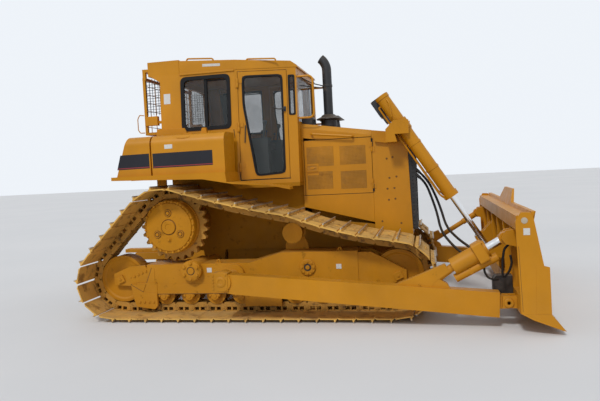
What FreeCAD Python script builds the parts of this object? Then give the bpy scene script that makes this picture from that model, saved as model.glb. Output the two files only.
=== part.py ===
import FreeCAD, Part
import math
import os

# Crawler dozer with raised sprockets, wide low ground pressure tracks and a straight blade.
# Millimetres. X points forward, Y to the left, Z up. Sizes are written from the sprocket axle
# (X) and the floor (Z). At the end all is shifted so that the origin is on the floor under the
# middle of the machine's length.

V = FreeCAD.Vector

# Tracks
TRACK_CENTRE = 1080.0
SHOE_WIDTH = 915.0
PITCH = 203.0
PIN_LOW_Z = 105.0
RAIL_RISE = 60.0
SHOE_DROP = 52.0
SHOE_PLATE = 15.0
SHOE_GAP = 9.0
GROUSER_THICK = 16.0
GROUSER_FROM_EDGE = 22.0
RAIL_INNER = 52.0
RAIL_THICK = 42.0
GROUSER_HEIGHT = PIN_LOW_Z - SHOE_DROP - SHOE_PLATE
SPAN_SAG = 48.0
RUN_CLEAR = 0.3

# Wheels of the tracks
SPROCKET_TEETH = 25
SPROCKET_Z = 1090.0
SPROCKET_WIDTH = 76.0
TOOTH_RISE = 17.0
TOOTH_DROP = 31.0
SPROCKET_HOLE_R = 250.0
REAR_IDLER_X = -685.0
FRONT_IDLER_X = 2675.0
IDLER_PIN_R = 360.0
IDLER_DISC_R = 250.0
IDLER_AXLE_R = 48.0
IDLER_HUB = 88.0
ROLLER_FIRST_X = -132.0
ROLLER_LAST_X = 2122.0
ROLLER_COUNT = 8
ROLLER_R = 100.0
ROLLER_FLANGE = 20.0
ROLLER_HALF = 108.0
CARRIER_X = 1480.0
CARRIER_R = 98.0

# Track frames
FRAME_HALF = 165.0
FRAME_BOTTOM_Z = 402.0
FRAME_TOP_Z = 640.0
RECOIL_TOP_Z = 752.0
PIVOT_X = 260.0
PIVOT_Z = 566.0
PIVOT_R = 82.0
TRUNNION_X = 780.0
TRUNNION_Z = 511.0
TRUNNION_R = 62.0
EQUALIZER_X = 1955.0
EQUALIZER_Z = 600.0

# Push arms and blade
ARM_INNER = 1592.0
ARM_WIDTH = 150.0
ARM_FRONT_X = 3694.0
ARM_PIN = (3770.0, 260.0)
ARM_PIN_R = 30.0
ARM_TONGUE_HALF = 33.7
BLADE_HALF = 2000.0
BLADE_TIP_X = 4253.0
BLADE_TIP_Z = 45.0
END_PLATE = 26.0
MOULDBOARD = 22.0
VALVE_INSET = 102.0
VALVE_WIDTH = 140.0
CENTRE_RISE = 150.0
CENTRE_HALF = 560.0
BIT_WIDTH = 60.0

# Lift cylinders
CYL_Y = 650.0
CYL_TRUNNION = (2761.0, 2155.0)
CYL_EYE = (3713.0, 650.0)
CYL_TAIL = 432.0
CYL_REACH = 1025.0
CYL_R = 76.0
CYL_BORE = 58.0
ROD_R = 33.0
ROD_PISTON_FROM_GLAND = 510.0
EYE_R = 62.0
EYE_WIDTH = 84.0
CLEVIS_GAP = 12.0
CLEVIS_PLATE = 34.0
EAR_REACH = 56.0

# Main body
ENGINE_LOW_Z = 900.0
CASE_HALF = 470.0
FRAME_SIDE = 60.0
BODY_HALF = 500.0
GUARD_HALF = 500.0
PANEL = 20.0

# Cab
CAB_FLOOR_Z = 1545.0
CAB_TOP_Z = 2960.0
POST_REAR_X = -215.0
POST_FRONT_X = 50.0
CAB_REAR_X = -150.0
CAB_BEND_X = 770.0
CAB_FRONT_X = 1500.0
CAB_REAR_HALF = 880.0
CAB_FRONT_HALF = 700.0
CAB_LEAN = 0.055
ARCH_Z = 1700.0
ARCH_X = 590.0
WELL_HALF = 555.0
FLOOR_THICK = 45.0
WALL = 50.0
DOOR_GAP = 6.0
DOOR_HINGE_X = 803.0
DOOR_HINGE_OUT = 16.0
DOOR_HINGE_R = 13.0
DOOR_HINGES_Z = (1760.0, 2250.0, 2790.0)
GLASS = 8.0
REAR_WINDOW_EDGE = 132.0
WINDSCREEN_EDGE = 12.0

# Tanks and fenders
FENDER_OUTER = 1400.0
FENDER_CAB_GAP = 20.0
FENDER_INNER = CAB_REAR_HALF + FENDER_CAB_GAP
FENDER_STEP_X = 790.0
FENDER_FRONT_X = 1455.0
TANK_OUTER = 1330.0
FENDER_Z = 1712.0

# Upper structure
POST_DEPTH = 110.0
ROOF_REAR_X = -370.0
ROOF_REAR_Z = 3140.0
ROOF_FRONT_Z = 3040.0
SCREEN_X = -460.0
SCREEN_HALF = 780.0

# Hood, engine doors, radiator
HOOD_REAR_X = 1500.3
HOOD_FRONT_X = 2380.0
ENGINE_DOOR_X0 = 1530.0
ENGINE_DOOR_X1 = 2374.0
DOOR_LOW_Z = 1370.0
DOOR_TOP_Z = 2050.0
MESH_FIELDS = [
    # x0, x1, z0, z1
    (1560.0, 1900.0, 1760.0, 1970.0),
    (1980.0, 2300.0, 1730.0, 1960.0),
    (1560.0, 1880.0, 1440.0, 1650.0),
    (1980.0, 2300.0, 1430.0, 1650.0),
]
LOUVRES = 14
ENGINE_HINGE_X = 2377.0
ENGINE_HINGE_OUT = 12.0
ENGINE_HINGE_R = 9.0
ENGINE_HINGES_Z = (1480.0, 1930.0)
HOOD_REAR_Z = 2275.0
HOOD_FRONT_Z = 2140.0
STACK_X = 1812.0
STACK_Y = -150.0
STACK_R = 60.0
PRECLEANER_Y = 135.0
PRECLEANER_R = 168.0
CAP_X0 = 1500.6
CAP_X1 = 1640.0
CAP_Y0 = -400.0
CAP_Y1 = -120.0
CAP_TOP_Z = 2366.0

# Seat and hoses
SEAT_X = 470.0
HOSE_R = 15.0
HOSE_SPLIT_Y = -797.0
HOSE_ROUTES = {
    # x, y, z of each hose, from the grille's fittings to the tilt cylinder's ports
    "a": [(2945.2, -452.0, 1584.8), (3025.2, -452.0, 1504.8), (3110.0, -475.0, 1330.0), (3180.0, -520.0, 1130.0),
          (3230.0, -655.0, 925.0), (3350.0, -940.0, 815.0), (3440.0, -1180.0, 765.0), (3470.0, -1380.0, 756.0),
          (3470.0, -1545.0, 756.0)],
    "b": [(2945.2, -452.0, 1522.8), (3010.2, -452.0, 1457.8), (3070.0, -475.0, 1290.0), (3130.0, -520.0, 1095.0),
          (3165.0, -655.0, 885.0), (3265.0, -940.0, 768.0), (3355.0, -1180.0, 702.0), (3410.0, -1380.0, 690.0),
          (3410.0, -1545.0, 690.0)],
}

# Drawbar
DRAWBAR_END_X = -1230.0
DRAWBAR_PIN_R = 24.0
FLOOR_MIDDLE_X = (DRAWBAR_END_X + BLADE_TIP_X) / 2.0

OUT = "parts"
os.makedirs(OUT, exist_ok=True)


def box(x0, x1, y0, y1, z0, z1):
    return Part.makeBox(x1 - x0, y1 - y0, z1 - z0, V(x0, y0, z0))


def side_prism(points, y0, y1):
    """Prism of an outline in X and Z, from y0 to y1."""
    loop = [V(x, y0, z) for x, z in points]
    face = Part.Face(Part.makePolygon(loop + [loop[0]]))
    return face.extrude(V(0, y1 - y0, 0))


def plan_prism(points, z0, z1):
    """Prism of an outline in X and Y, from z0 to z1."""
    loop = [V(x, y, z0) for x, y in points]
    face = Part.Face(Part.makePolygon(loop + [loop[0]]))
    return face.extrude(V(0, 0, z1 - z0))


def cross_rod(x, z, radius, y0, y1):
    """Round bar along Y."""
    return Part.makeCylinder(radius, y1 - y0, V(x, y0, z), V(0, 1, 0))


def rod_between(a, b, radius):
    line = b.sub(a)
    return Part.makeCylinder(radius, line.Length, a, line)


def fused(shapes):
    whole = shapes[0]
    if len(shapes) > 1:
        whole = whole.multiFuse(shapes[1:])
    return whole.removeSplitter()


def mirrored(shape):
    return shape.mirror(V(0, 0, 0), V(0, 1, 0))


def both(shape):
    """The piece on the right and its mirror image on the left, as solids apart."""
    return Part.makeCompound([shape, mirrored(shape)])


def save(name, shape):
    moved = shape.copy()
    moved.translate(V(-FLOOR_MIDDLE_X, 0, 0))
    moved.exportStep(os.path.join(OUT, name + ".step"))
    solids = moved.Solids
    facets = len(moved.tessellate(1.0)[1])
    print("%-22s solids %2d valid %s facets %5d volume %.4f m3"
          % (name, len(solids), moved.isValid(), facets, moved.Volume / 1e9))
    return facets


# Path of the track pins, clockwise as seen from the right side of the machine.

HALF_STEP = math.pi / SPROCKET_TEETH
SPROCKET_R = PITCH / 2.0 / math.sin(2.0 * HALF_STEP)
IDLER_Z = PIN_LOW_Z + IDLER_PIN_R
IDLER_TREAD_R = math.sqrt(IDLER_PIN_R ** 2 - (PITCH / 2.0) ** 2) - RAIL_RISE - RUN_CLEAR
ROLLER_Z = PIN_LOW_Z + RAIL_RISE + ROLLER_R + RUN_CLEAR


def tangent(c0, r0, c1, r1):
    """Outer tangent of two circles, on the left of the way from c0 to c1."""
    dx, dz = c1[0] - c0[0], c1[1] - c0[1]
    gap = math.hypot(dx, dz)
    turn = math.atan2(dz, dx) + math.pi / 2.0 + math.asin((r1 - r0) / gap)
    nx, nz = math.cos(turn), math.sin(turn)
    return (c0[0] + r0 * nx, c0[1] + r0 * nz), (c1[0] + r1 * nx, c1[1] + r1 * nz)


def arc_points(centre, radius, start, end, step=4.0):
    """Points on a circle, turning clockwise from the start angle to the end angle."""
    while end > start:
        end -= 2.0 * math.pi
    count = max(2, int(abs(end - start) * radius / step))
    angles = [start + (end - start) * i / count for i in range(count + 1)]
    return [(centre[0] + radius * math.cos(a), centre[1] + radius * math.sin(a)) for a in angles]


def span_points(a, b, sag, count=80):
    points = []
    for i in range(1, count):
        t = i / count
        drop = 4.0 * sag * t * (1.0 - t)
        points.append((a[0] + (b[0] - a[0]) * t, a[1] + (b[1] - a[1]) * t - drop))
    return points


def angle_of(centre, point):
    return math.atan2(point[1] - centre[1], point[0] - centre[0])


def pin_path():
    sprocket = (0.0, SPROCKET_Z)
    front = (FRONT_IDLER_X, IDLER_Z)
    rear = (REAR_IDLER_X, IDLER_Z)
    top_a, top_b = tangent(sprocket, SPROCKET_R, front, IDLER_PIN_R)
    rear_a, rear_b = tangent(rear, IDLER_PIN_R, sprocket, SPROCKET_R)
    share = (CARRIER_X - top_a[0]) / (top_b[0] - top_a[0])
    over = (CARRIER_X, top_a[1] + (top_b[1] - top_a[1]) * share)
    points = arc_points(sprocket, SPROCKET_R, angle_of(sprocket, rear_b), angle_of(sprocket, top_a))
    points += span_points(top_a, over, SPAN_SAG * 0.5)
    points.append(over)
    points += span_points(over, top_b, SPAN_SAG)
    points += arc_points(front, IDLER_PIN_R, angle_of(front, top_b), -math.pi / 2.0)
    points += arc_points(rear, IDLER_PIN_R, -math.pi / 2.0, angle_of(rear, rear_a) - 2.0 * math.pi)
    return points, over


def spaced(points, count, offset):
    """That many points at equal steps round a closed path."""
    loop = points + [points[0]]
    lengths = [0.0]
    for (x0, z0), (x1, z1) in zip(loop, loop[1:]):
        lengths.append(lengths[-1] + math.hypot(x1 - x0, z1 - z0))
    total = lengths[-1]
    result = []
    k = 0
    for i in range(count):
        want = offset + total * i / count
        while lengths[k + 1] < want:
            k += 1
        t = (want - lengths[k]) / (lengths[k + 1] - lengths[k])
        result.append((loop[k][0] + (loop[k + 1][0] - loop[k][0]) * t,
                       loop[k][1] + (loop[k + 1][1] - loop[k][1]) * t))
    return result, total


PATH, OVER_CARRIER = pin_path()
PATH_LENGTH = spaced(PATH, 1, 0.0)[1]
SHOE_COUNT = round(PATH_LENGTH / PITCH)
PINS = spaced(PATH, SHOE_COUNT, 0.0)[0]


def link_frames():
    """Each link as its rear pin, direction along the track, outward direction and length."""
    frames = []
    for (x0, z0), (x1, z1) in zip(PINS, PINS[1:] + PINS[:1]):
        length = math.hypot(x1 - x0, z1 - z0)
        along = ((x1 - x0) / length, (z1 - z0) / length)
        out = (-along[1], along[0])
        frames.append(((x0, z0), along, out, length))
    return frames


def on_link(frame, u, w):
    (x0, z0), along, out, _ = frame
    return (x0 + along[0] * u + out[0] * w, z0 + along[1] * u + out[1] * w)


def rail_line(w):
    """Corners of the rails' edge at a distance outward from the pins."""
    corners = []
    for frame in link_frames():
        corners += [on_link(frame, frame[3] * 0.12, w), on_link(frame, frame[3] * 0.88, w)]
    return corners


def carrier_height():
    """Highest place of the carrier roller's axle at which its tread clears the rails."""
    reach = CARRIER_R + RUN_CLEAR
    corners = rail_line(-RAIL_RISE)
    best = OVER_CARRIER[1]
    for a, b in zip(corners, corners[1:]):
        for i in range(21):
            x = a[0] + (b[0] - a[0]) * i / 20.0
            z = a[1] + (b[1] - a[1]) * i / 20.0
            if abs(x - CARRIER_X) < reach and z > SPROCKET_Z * 0.8:
                best = min(best, z - math.sqrt(reach ** 2 - (x - CARRIER_X) ** 2))
    return best


CARRIER_Z = carrier_height()


def make_track(sign):
    y_mid = -sign * TRACK_CENTRE
    shoes = []
    plate_in = SHOE_DROP
    plate_out = SHOE_DROP + SHOE_PLATE
    tip = plate_out + GROUSER_HEIGHT
    for frame in link_frames():
        length = frame[3]
        start, end = SHOE_GAP / 2.0, length - SHOE_GAP / 2.0
        outline = [(start, plate_in), (end, plate_in), (end, plate_out),
                   (start + GROUSER_FROM_EDGE + GROUSER_THICK, plate_out),
                   (start + GROUSER_FROM_EDGE + GROUSER_THICK * 0.75, tip),
                   (start + GROUSER_FROM_EDGE + GROUSER_THICK * 0.25, tip)]
        points = [on_link(frame, u, w) for u, w in outline]
        shoes.append(side_prism(points, y_mid - SHOE_WIDTH / 2.0, y_mid + SHOE_WIDTH / 2.0))
    inner_rail = rail_line(-RAIL_RISE)
    outer_rail = [on_link(frame, frame[3] * 0.5, plate_in + 1.0) for frame in link_frames()]
    rails = []
    for side in (-1.0, 1.0):
        y0 = y_mid + side * (RAIL_INNER + RAIL_THICK / 2.0) - RAIL_THICK / 2.0
        rim = side_prism(outer_rail, y0, y0 + RAIL_THICK)
        hole = side_prism(inner_rail, y0 - 1.0, y0 + RAIL_THICK + 1.0)
        rails.append(rim.cut(hole))
    return shoes[0].multiFuse(shoes[1:] + rails)


def make_sprocket(y_mid):
    tip_r = SPROCKET_R + TOOTH_RISE
    root_r = SPROCKET_R - TOOTH_DROP
    points = []
    for i in range(SPROCKET_TEETH):
        mid = 2.0 * HALF_STEP * i + HALF_STEP
        for turn, radius in ((-0.78, root_r), (-0.24, tip_r), (0.24, tip_r), (0.78, root_r)):
            a = mid + turn * HALF_STEP
            points.append((radius * math.cos(a), SPROCKET_Z + radius * math.sin(a)))
    ring = side_prism(points, y_mid - SPROCKET_WIDTH / 2.0, y_mid + SPROCKET_WIDTH / 2.0)
    hole = cross_rod(0.0, SPROCKET_Z, SPROCKET_HOLE_R, y_mid - SPROCKET_WIDTH, y_mid + SPROCKET_WIDTH)
    return ring.cut(hole)


def make_final_drive(y_mid):
    """Planetary hub in the sprocket ring: flange, drum and a lobed outer cover."""
    out = -1.0
    drum = cross_rod(0.0, SPROCKET_Z, SPROCKET_HOLE_R - RUN_CLEAR, y_mid - 130.0, y_mid + 120.0)
    cover = cross_rod(0.0, SPROCKET_Z, 326.0, y_mid + out * 205.0, y_mid + out * (SPROCKET_WIDTH / 2.0 + 0.3))
    ring = cross_rod(0.0, SPROCKET_Z, 96.0, y_mid + out * 232.0, y_mid + out * 205.0)
    lobes = []
    for i in range(3):
        a = math.radians(90.0 + 120.0 * i)
        x, z = 165.0 * math.cos(a), SPROCKET_Z + 165.0 * math.sin(a)
        lobes.append(cross_rod(x, z, 84.0, y_mid + out * 226.0, y_mid + out * 205.0))
    return fused([drum, cover, ring] + lobes)


def wheel_of(profile, x, y_mid, z):
    """Wheel without a bore, from the outer half of its outline as radius and distance from the middle."""
    outline = [(r, -y) for r, y in profile] + [(r, y) for r, y in reversed(profile)]
    loop = [V(r, y, 0) for r, y in outline]
    wheel = Part.Face(Part.makePolygon(loop + [loop[0]])).revolve(V(0, 0, 0), V(0, 1, 0), 360)
    wheel.translate(V(x, y_mid, z))
    return wheel


def make_idler(x, y_mid):
    """Track idler: a tread for both rails, a thin dished web and a hub."""
    return wheel_of([(0.0, IDLER_HUB), (94.0, IDLER_HUB), (104.0, 32.0), (IDLER_DISC_R, IDLER_HUB + 10.0),
                     (IDLER_TREAD_R, IDLER_HUB + 10.0)], x, y_mid, IDLER_Z)


def make_roller(x, z, radius, y_mid):
    """Track roller: tread for the rails between its outer flanges."""
    return wheel_of([(0.0, ROLLER_HALF), (radius + ROLLER_FLANGE, ROLLER_HALF), (radius, ROLLER_HALF - 8.0)],
                    x, y_mid, z)


def make_track_frame():
    """Right roller frame: box beam, recoil housing, idler yokes, roller hangers and guards."""
    y_in, y_out = -TRACK_CENTRE + FRAME_HALF, -TRACK_CENTRE - FRAME_HALF
    beam = side_prism([(-330.0, FRAME_BOTTOM_Z), (2230.0, FRAME_BOTTOM_Z), (2230.0, RECOIL_TOP_Z),
                       (1350.0, RECOIL_TOP_Z), (960.0, FRAME_TOP_Z), (-330.0, FRAME_TOP_Z)], y_out, y_in)
    pieces = [beam]
    yoke_in = RAIL_INNER + RAIL_THICK + 20.0
    yoke_plate = 40.0
    for side in (-1.0, 1.0):
        y0 = -TRACK_CENTRE + side * (yoke_in + yoke_plate / 2.0) - yoke_plate / 2.0
        rear = side_prism([(-320.0, 560.0), (-360.0, FRAME_TOP_Z - 10.0), (-560.0, FRAME_TOP_Z - 20.0),
                           (REAR_IDLER_X - 90.0, IDLER_Z + 70.0), (REAR_IDLER_X - 90.0, IDLER_Z - 70.0),
                           (-560.0, FRAME_BOTTOM_Z - 20.0), (-320.0, FRAME_BOTTOM_Z)], y0, y0 + yoke_plate)
        front = side_prism([(2229.0, FRAME_BOTTOM_Z), (2560.0, 372.0), (FRONT_IDLER_X + 90.0, IDLER_Z - 60.0),
                            (FRONT_IDLER_X + 90.0, IDLER_Z + 60.0), (2560.0, 640.0), (2380.0, 735.0),
                            (2229.0, 735.0)], y0, y0 + yoke_plate)
        pieces += [rear, front]
    for x in (REAR_IDLER_X, FRONT_IDLER_X):
        for side in (-1.0, 1.0):
            y0, y1 = sorted((-TRACK_CENTRE + side * IDLER_HUB, -TRACK_CENTRE + side * (yoke_in + yoke_plate + 12.0)))
            pieces.append(cross_rod(x, IDLER_Z, IDLER_AXLE_R, y0, y1))
    step = (ROLLER_LAST_X - ROLLER_FIRST_X) / (ROLLER_COUNT - 1)
    hanger_in = RAIL_INNER + RAIL_THICK + 26.0
    for i in range(ROLLER_COUNT):
        x = ROLLER_FIRST_X + step * i
        for side in (-1.0, 1.0):
            y0 = -TRACK_CENTRE + side * (hanger_in + 15.0) - 15.0
            pieces.append(box(x - 52.0, x + 52.0, y0, y0 + 30.0, ROLLER_Z - 48.0, FRAME_BOTTOM_Z + 1.0))
            y0, y1 = sorted((-TRACK_CENTRE + side * ROLLER_HALF, -TRACK_CENTRE + side * (hanger_in + 1.0)))
            pieces.append(box(x - 32.0, x + 32.0, y0, y1, ROLLER_Z - 32.0, ROLLER_Z + 32.0))
    for x0, x1, low in ((-470.0, -210.0, 150.0), (890.0, 1330.0, 132.0)):
        for side in (-1.0, 1.0):
            y0 = -TRACK_CENTRE + side * (hanger_in + 42.0) - 12.0
            pieces.append(box(x0, x1, y0, y0 + 24.0, low, FRAME_BOTTOM_Z + 20.0))
    for side in (-1.0, 1.0):
        y0 = -TRACK_CENTRE + side * (hanger_in + 15.0) - 15.0
        pieces.append(box(-330.0, -260.0, y0, y0 + 60.0 if side < 0 else y0 + 30.0, FRAME_BOTTOM_Z - 60.0,
                          FRAME_BOTTOM_Z + 20.0))
    pieces.append(side_prism([(CARRIER_X - 70.0, RECOIL_TOP_Z - 1.0), (CARRIER_X + 70.0, RECOIL_TOP_Z - 1.0),
                              (CARRIER_X + 44.0, CARRIER_Z + 44.0), (CARRIER_X - 44.0, CARRIER_Z + 44.0)],
                             y_in - 40.0, y_in))
    pieces.append(cross_rod(CARRIER_X, CARRIER_Z, 34.0, -TRACK_CENTRE + ROLLER_HALF, y_in))
    pieces.append(cross_rod(PIVOT_X, PIVOT_Z, PIVOT_R + 42.0, y_out - 70.0, y_in + 30.0))
    pieces.append(cross_rod(TRUNNION_X, TRUNNION_Z, TRUNNION_R + 62.0, y_out - 60.0, y_out + 1.0))
    pieces.append(cross_rod(TRUNNION_X, TRUNNION_Z, TRUNNION_R, -ARM_INNER - ARM_WIDTH + 22.0, y_out))
    frame = fused(pieces)
    bore = cross_rod(PIVOT_X, PIVOT_Z, PIVOT_R + RUN_CLEAR, y_out - 40.0, y_in + 60.0)
    return frame.cut(bore)


def make_push_arm():
    """Right push arm: tapered box beam with a round cap over the trunnion."""
    y_in, y_out = -ARM_INNER, -ARM_INNER - ARM_WIDTH
    beam = side_prism([(TRUNNION_X, 596.0), (ARM_FRONT_X, 366.0), (ARM_FRONT_X - 12.0, 114.0),
                       (900.0, 372.0), (TRUNNION_X, 400.0)], y_out, y_in)
    cap = cross_rod(TRUNNION_X, TRUNNION_Z, 112.0, y_out - 18.0, y_in)
    bracket = side_prism([(2760.0, 410.0), (3230.0, 372.0), (3190.0, 452.0), (3040.0, 545.0),
                          (2950.0, 560.0)], y_out + 40.0, y_in - 30.0)
    y_mid = (y_in + y_out) / 2.0
    x_pin, z_pin = ARM_PIN
    tongue = box(ARM_FRONT_X - 14.0, x_pin, y_mid - ARM_TONGUE_HALF, y_mid + ARM_TONGUE_HALF, 195.0, 325.0)
    nose = cross_rod(x_pin, z_pin, 65.0, y_mid - ARM_TONGUE_HALF, y_mid + ARM_TONGUE_HALF)
    pin = cross_rod(x_pin, z_pin, ARM_PIN_R, y_mid - 86.0, y_mid + 86.0)
    arm = fused([beam, cap, bracket, tongue, nose, pin])
    bore = cross_rod(TRUNNION_X, TRUNNION_Z, TRUNNION_R + RUN_CLEAR, y_out + 20.0, y_in + 10.0)
    return arm.cut(bore)


CYL_LINE = V(CYL_EYE[0] - CYL_TRUNNION[0], 0, CYL_EYE[1] - CYL_TRUNNION[1])
CYL_LENGTH = CYL_LINE.Length
CYL_WAY = V(CYL_LINE).normalize()


def mouldboard_profile():
    """Arc of the blade's front face, from the cutting edge up, as points in X and Z."""
    low, mid, high = (4108.0, 208.0), (3956.0, 640.0), (4010.0, 1188.0)
    arc = Part.Arc(V(low[0], 0, low[1]), V(mid[0], 0, mid[1]), V(high[0], 0, high[1]))
    return arc


def at_eye(along, across):
    """Place from a lift cylinder's eye, towards the trunnion and across towards the blade, as X and Z."""
    return (CYL_EYE[0] - CYL_WAY.x * along - CYL_WAY.z * across, CYL_EYE[1] - CYL_WAY.z * along + CYL_WAY.x * across)


def make_blade():
    front = mouldboard_profile()
    count = 8
    face_points = [front.value(front.FirstParameter + (front.LastParameter - front.FirstParameter) * i / count)
                   for i in range(count + 1)]
    outline = [(p.x, p.z) for p in face_points]
    back = [(x - MOULDBOARD * 1.6, z) for x, z in reversed(outline)]
    wide = BLADE_HALF - END_PLATE
    board = side_prism(outline + back, -wide - 1.0, wide + 1.0)
    top = outline[-1]
    under = outline[-2]
    crown = [(top[0], top[1] - 1.0), (2.0 * top[0] - under[0], top[1] + CENTRE_RISE),
             (2.0 * top[0] - under[0] - MOULDBOARD, top[1] + CENTRE_RISE), (top[0] - MOULDBOARD * 1.6, top[1] - 1.0)]
    crown_solid = side_prism(crown, -CENTRE_HALF, CENTRE_HALF)
    slope_cut = [(-CENTRE_HALF - 1.0, top[1]), (-CENTRE_HALF - 1.0, top[1] + CENTRE_RISE + 10.0),
                 (-CENTRE_HALF + 210.0, top[1] + CENTRE_RISE + 10.0)]
    loop = [V(top[0] - 300.0, y, z) for y, z in slope_cut]
    wedge = Part.Face(Part.makePolygon(loop + [loop[0]])).extrude(V(900.0, 0, 0))
    crown_solid = crown_solid.cut(wedge).cut(mirrored(wedge))
    plate = [(3855.0, 208.0), (4128.0, 208.0), (4122.0, 655.0), (4072.0, 668.0), (3990.0, 1128.0),
             (3958.0, 1180.0), (3880.0, 1184.0), (3826.0, 1100.0)]
    ends = [side_prism(plate, -BLADE_HALF, -wide), side_prism(plate, wide, BLADE_HALF)]
    beam_half = max(wide + 1.0, ARM_INNER + ARM_WIDTH + 20.0)
    beams = [side_prism([(3835.0, 1010.0), (outline[-1][0] - 30.0, 1010.0), (outline[-1][0] - 30.0, 1150.0),
                         (3835.0, 1150.0)], -beam_half, beam_half),
             side_prism([(3850.0, 208.0), (4080.0, 208.0), (3990.0, 380.0), (3850.0, 380.0)],
                        -beam_half, beam_half)]
    ribs = []
    rib = [(3850.0, 379.0), (3985.0, 379.0), (3930.0, 700.0), (3960.0, 1011.0), (3835.0, 1011.0)]
    for y in (-1500.0, -900.0, -300.0, 300.0, 900.0, 1500.0):
        ribs.append(side_prism(rib, y - 10.0, y + 10.0))
    lugs = []
    for side in (-1.0, 1.0):
        y_arm = side * (ARM_INNER + ARM_WIDTH / 2.0)
        for lug_side in (-1.0, 1.0):
            y0 = y_arm + lug_side * 54.0 - 20.0
            lug = box(ARM_FRONT_X + 24.0, 3851.0, y0, y0 + 40.0, 208.0, 330.0)
            lugs.append(lug.cut(cross_rod(ARM_PIN[0], ARM_PIN[1], ARM_PIN_R + RUN_CLEAR, y0 - 1.0, y0 + 41.0)))
        for gap_side in (-1.0, 1.0):
            inner = EYE_WIDTH / 2.0 + CLEVIS_GAP
            y0 = side * CYL_Y + gap_side * (inner + CLEVIS_PLATE / 2.0) - CLEVIS_PLATE / 2.0
            ear = side_prism([(3851.0, 560.0), (3851.0, 850.0), at_eye(EAR_REACH, 100.0), at_eye(EAR_REACH, -34.0),
                              at_eye(EAR_REACH - 22.0, -60.0), at_eye(0.0, -66.0), (CYL_EYE[0] + 7.0, CYL_EYE[1] - 60.0)],
                             y0, y0 + CLEVIS_PLATE)
            lugs.append(ear)
            web = box(3845.0, 3935.0, y0, y0 + CLEVIS_PLATE, 560.0, 860.0)
            lugs.append(web)
    return fused([board, crown_solid] + ends + beams + ribs + lugs)


def make_cutting_edge():
    """Bolted cutting edge with a pointed bit at each end."""
    edge = side_prism([(4074.0, 207.7), (4124.0, 207.7), (BLADE_TIP_X, BLADE_TIP_Z),
                       (BLADE_TIP_X - 34.0, BLADE_TIP_Z + 6.0)], -BLADE_HALF, BLADE_HALF)
    bits = []
    for side in (-1.0, 1.0):
        y0 = side * (BLADE_HALF - BIT_WIDTH / 2.0)
        lo, hi = y0 - BIT_WIDTH / 2.0, y0 + BIT_WIDTH / 2.0
        bits.append(side_prism([(3860.0, 207.7), (4124.0, 207.7), (4222.0, BLADE_TIP_Z + 7.0),
                                (3965.0, 150.0)], lo, hi))
    return fused([edge] + bits)


def make_tilt_cylinder():
    """Hydraulic tilt cylinder of the right side, on its strut, with its chrome rod and rod eye."""
    y = -ARM_INNER - ARM_WIDTH / 2.0 + 10.0
    foot = V(3060.0, y, 478.0)
    tail = V(3247.0, y, 618.0)
    head = V(3590.0, y, 808.0)
    eye = V(3765.0, y, 905.0)
    strut = rod_between(foot, tail, 42.0)
    barrel = rod_between(tail, head, 88.0)
    collar = rod_between(V(3478.0, y, 746.0), V(3576.0, y, 800.3), 102.0)
    rod = rod_between(head, eye, 40.0)
    knuckle = cross_rod(eye.x, eye.z, 62.0, y - 46.0, y + 46.0)
    guide = rod_between(V(3270.0, y, 500.0), V(3690.0, y, 718.0), 44.0)
    bridge = side_prism([(3480.0, 650.0), (3560.0, 690.0), (3520.0, 770.0), (3440.0, 730.0)], y - 30.0, y + 30.0)
    ear = side_prism([(3722.0, 905.0), (3765.0, 850.0), (3960.0, 800.0), (3960.0, 1010.5), (3765.0, 985.0)],
                     y - 90.0, y + 90.0)
    ear = ear.cut(box(3600.0, 3832.0, y - 46.3, y + 46.3, 780.0, 1100.0))
    cylinder = fused([strut, barrel, collar, rod, knuckle, guide, bridge] + make_hose_ports())
    return cylinder.cut(make_push_arm()), ear


def make_brace():
    """Screw brace of the left side, from the push arm's bracket to the blade."""
    y = ARM_INNER + ARM_WIDTH / 2.0 - 10.0
    foot = V(3060.0, y, 478.0)
    eye = V(3765.0, y, 905.0)
    middle = V(3540.0, y, 769.0)
    brace = fused([rod_between(foot, middle, 36.0), rod_between(middle, eye, 44.0),
                   cross_rod(eye.x, eye.z, 62.0, y - 46.0, y + 46.0)])
    return brace.cut(mirrored(make_push_arm()))


def on_cylinder(distance, y):
    """Point of a lift cylinder's axis, that far below its trunnion."""
    return V(CYL_TRUNNION[0], y, CYL_TRUNNION[1]).add(V(CYL_WAY).multiply(distance))


def make_lift_barrel(y):
    tube = rod_between(on_cylinder(-CYL_TAIL, y), on_cylinder(CYL_REACH, y), CYL_R)
    gland = rod_between(on_cylinder(CYL_REACH - 60.0, y), on_cylinder(CYL_REACH, y), CYL_R + 12.0)
    head = rod_between(on_cylinder(-CYL_TAIL, y), on_cylinder(-CYL_TAIL + 44.0, y), CYL_R + 8.0)
    collar = rod_between(on_cylinder(-70.0, y), on_cylinder(70.0, y), CYL_R + 16.0)
    pins = cross_rod(CYL_TRUNNION[0], CYL_TRUNNION[1], 42.0, y - CYL_R - 60.0, y + CYL_R + 60.0)
    inward = -1.0 if y > 0.0 else 1.0
    y0, y1 = sorted((y + inward * (CYL_R - 6.0), y + inward * (CYL_R + 119.0)))
    corners = []
    for along, across in ((-450.0, -149.0), (-220.0, -149.0), (-220.0, 61.0), (-450.0, 61.0)):
        corner = on_cylinder(along, y).add(V(-CYL_WAY.z, 0, CYL_WAY.x).multiply(across))
        corners.append((corner.x, corner.z))
    lamp = side_prism(corners, y0, y1)
    body = fused([tube, gland, head, collar, pins, lamp])
    bore = rod_between(on_cylinder(-CYL_TAIL + 40.0, y), on_cylinder(CYL_REACH - 40.0, y), CYL_BORE)
    neck = rod_between(on_cylinder(CYL_REACH - 60.0, y), on_cylinder(CYL_REACH + 10.0, y), ROD_R + RUN_CLEAR)
    return body.cut(bore).cut(neck)


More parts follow.
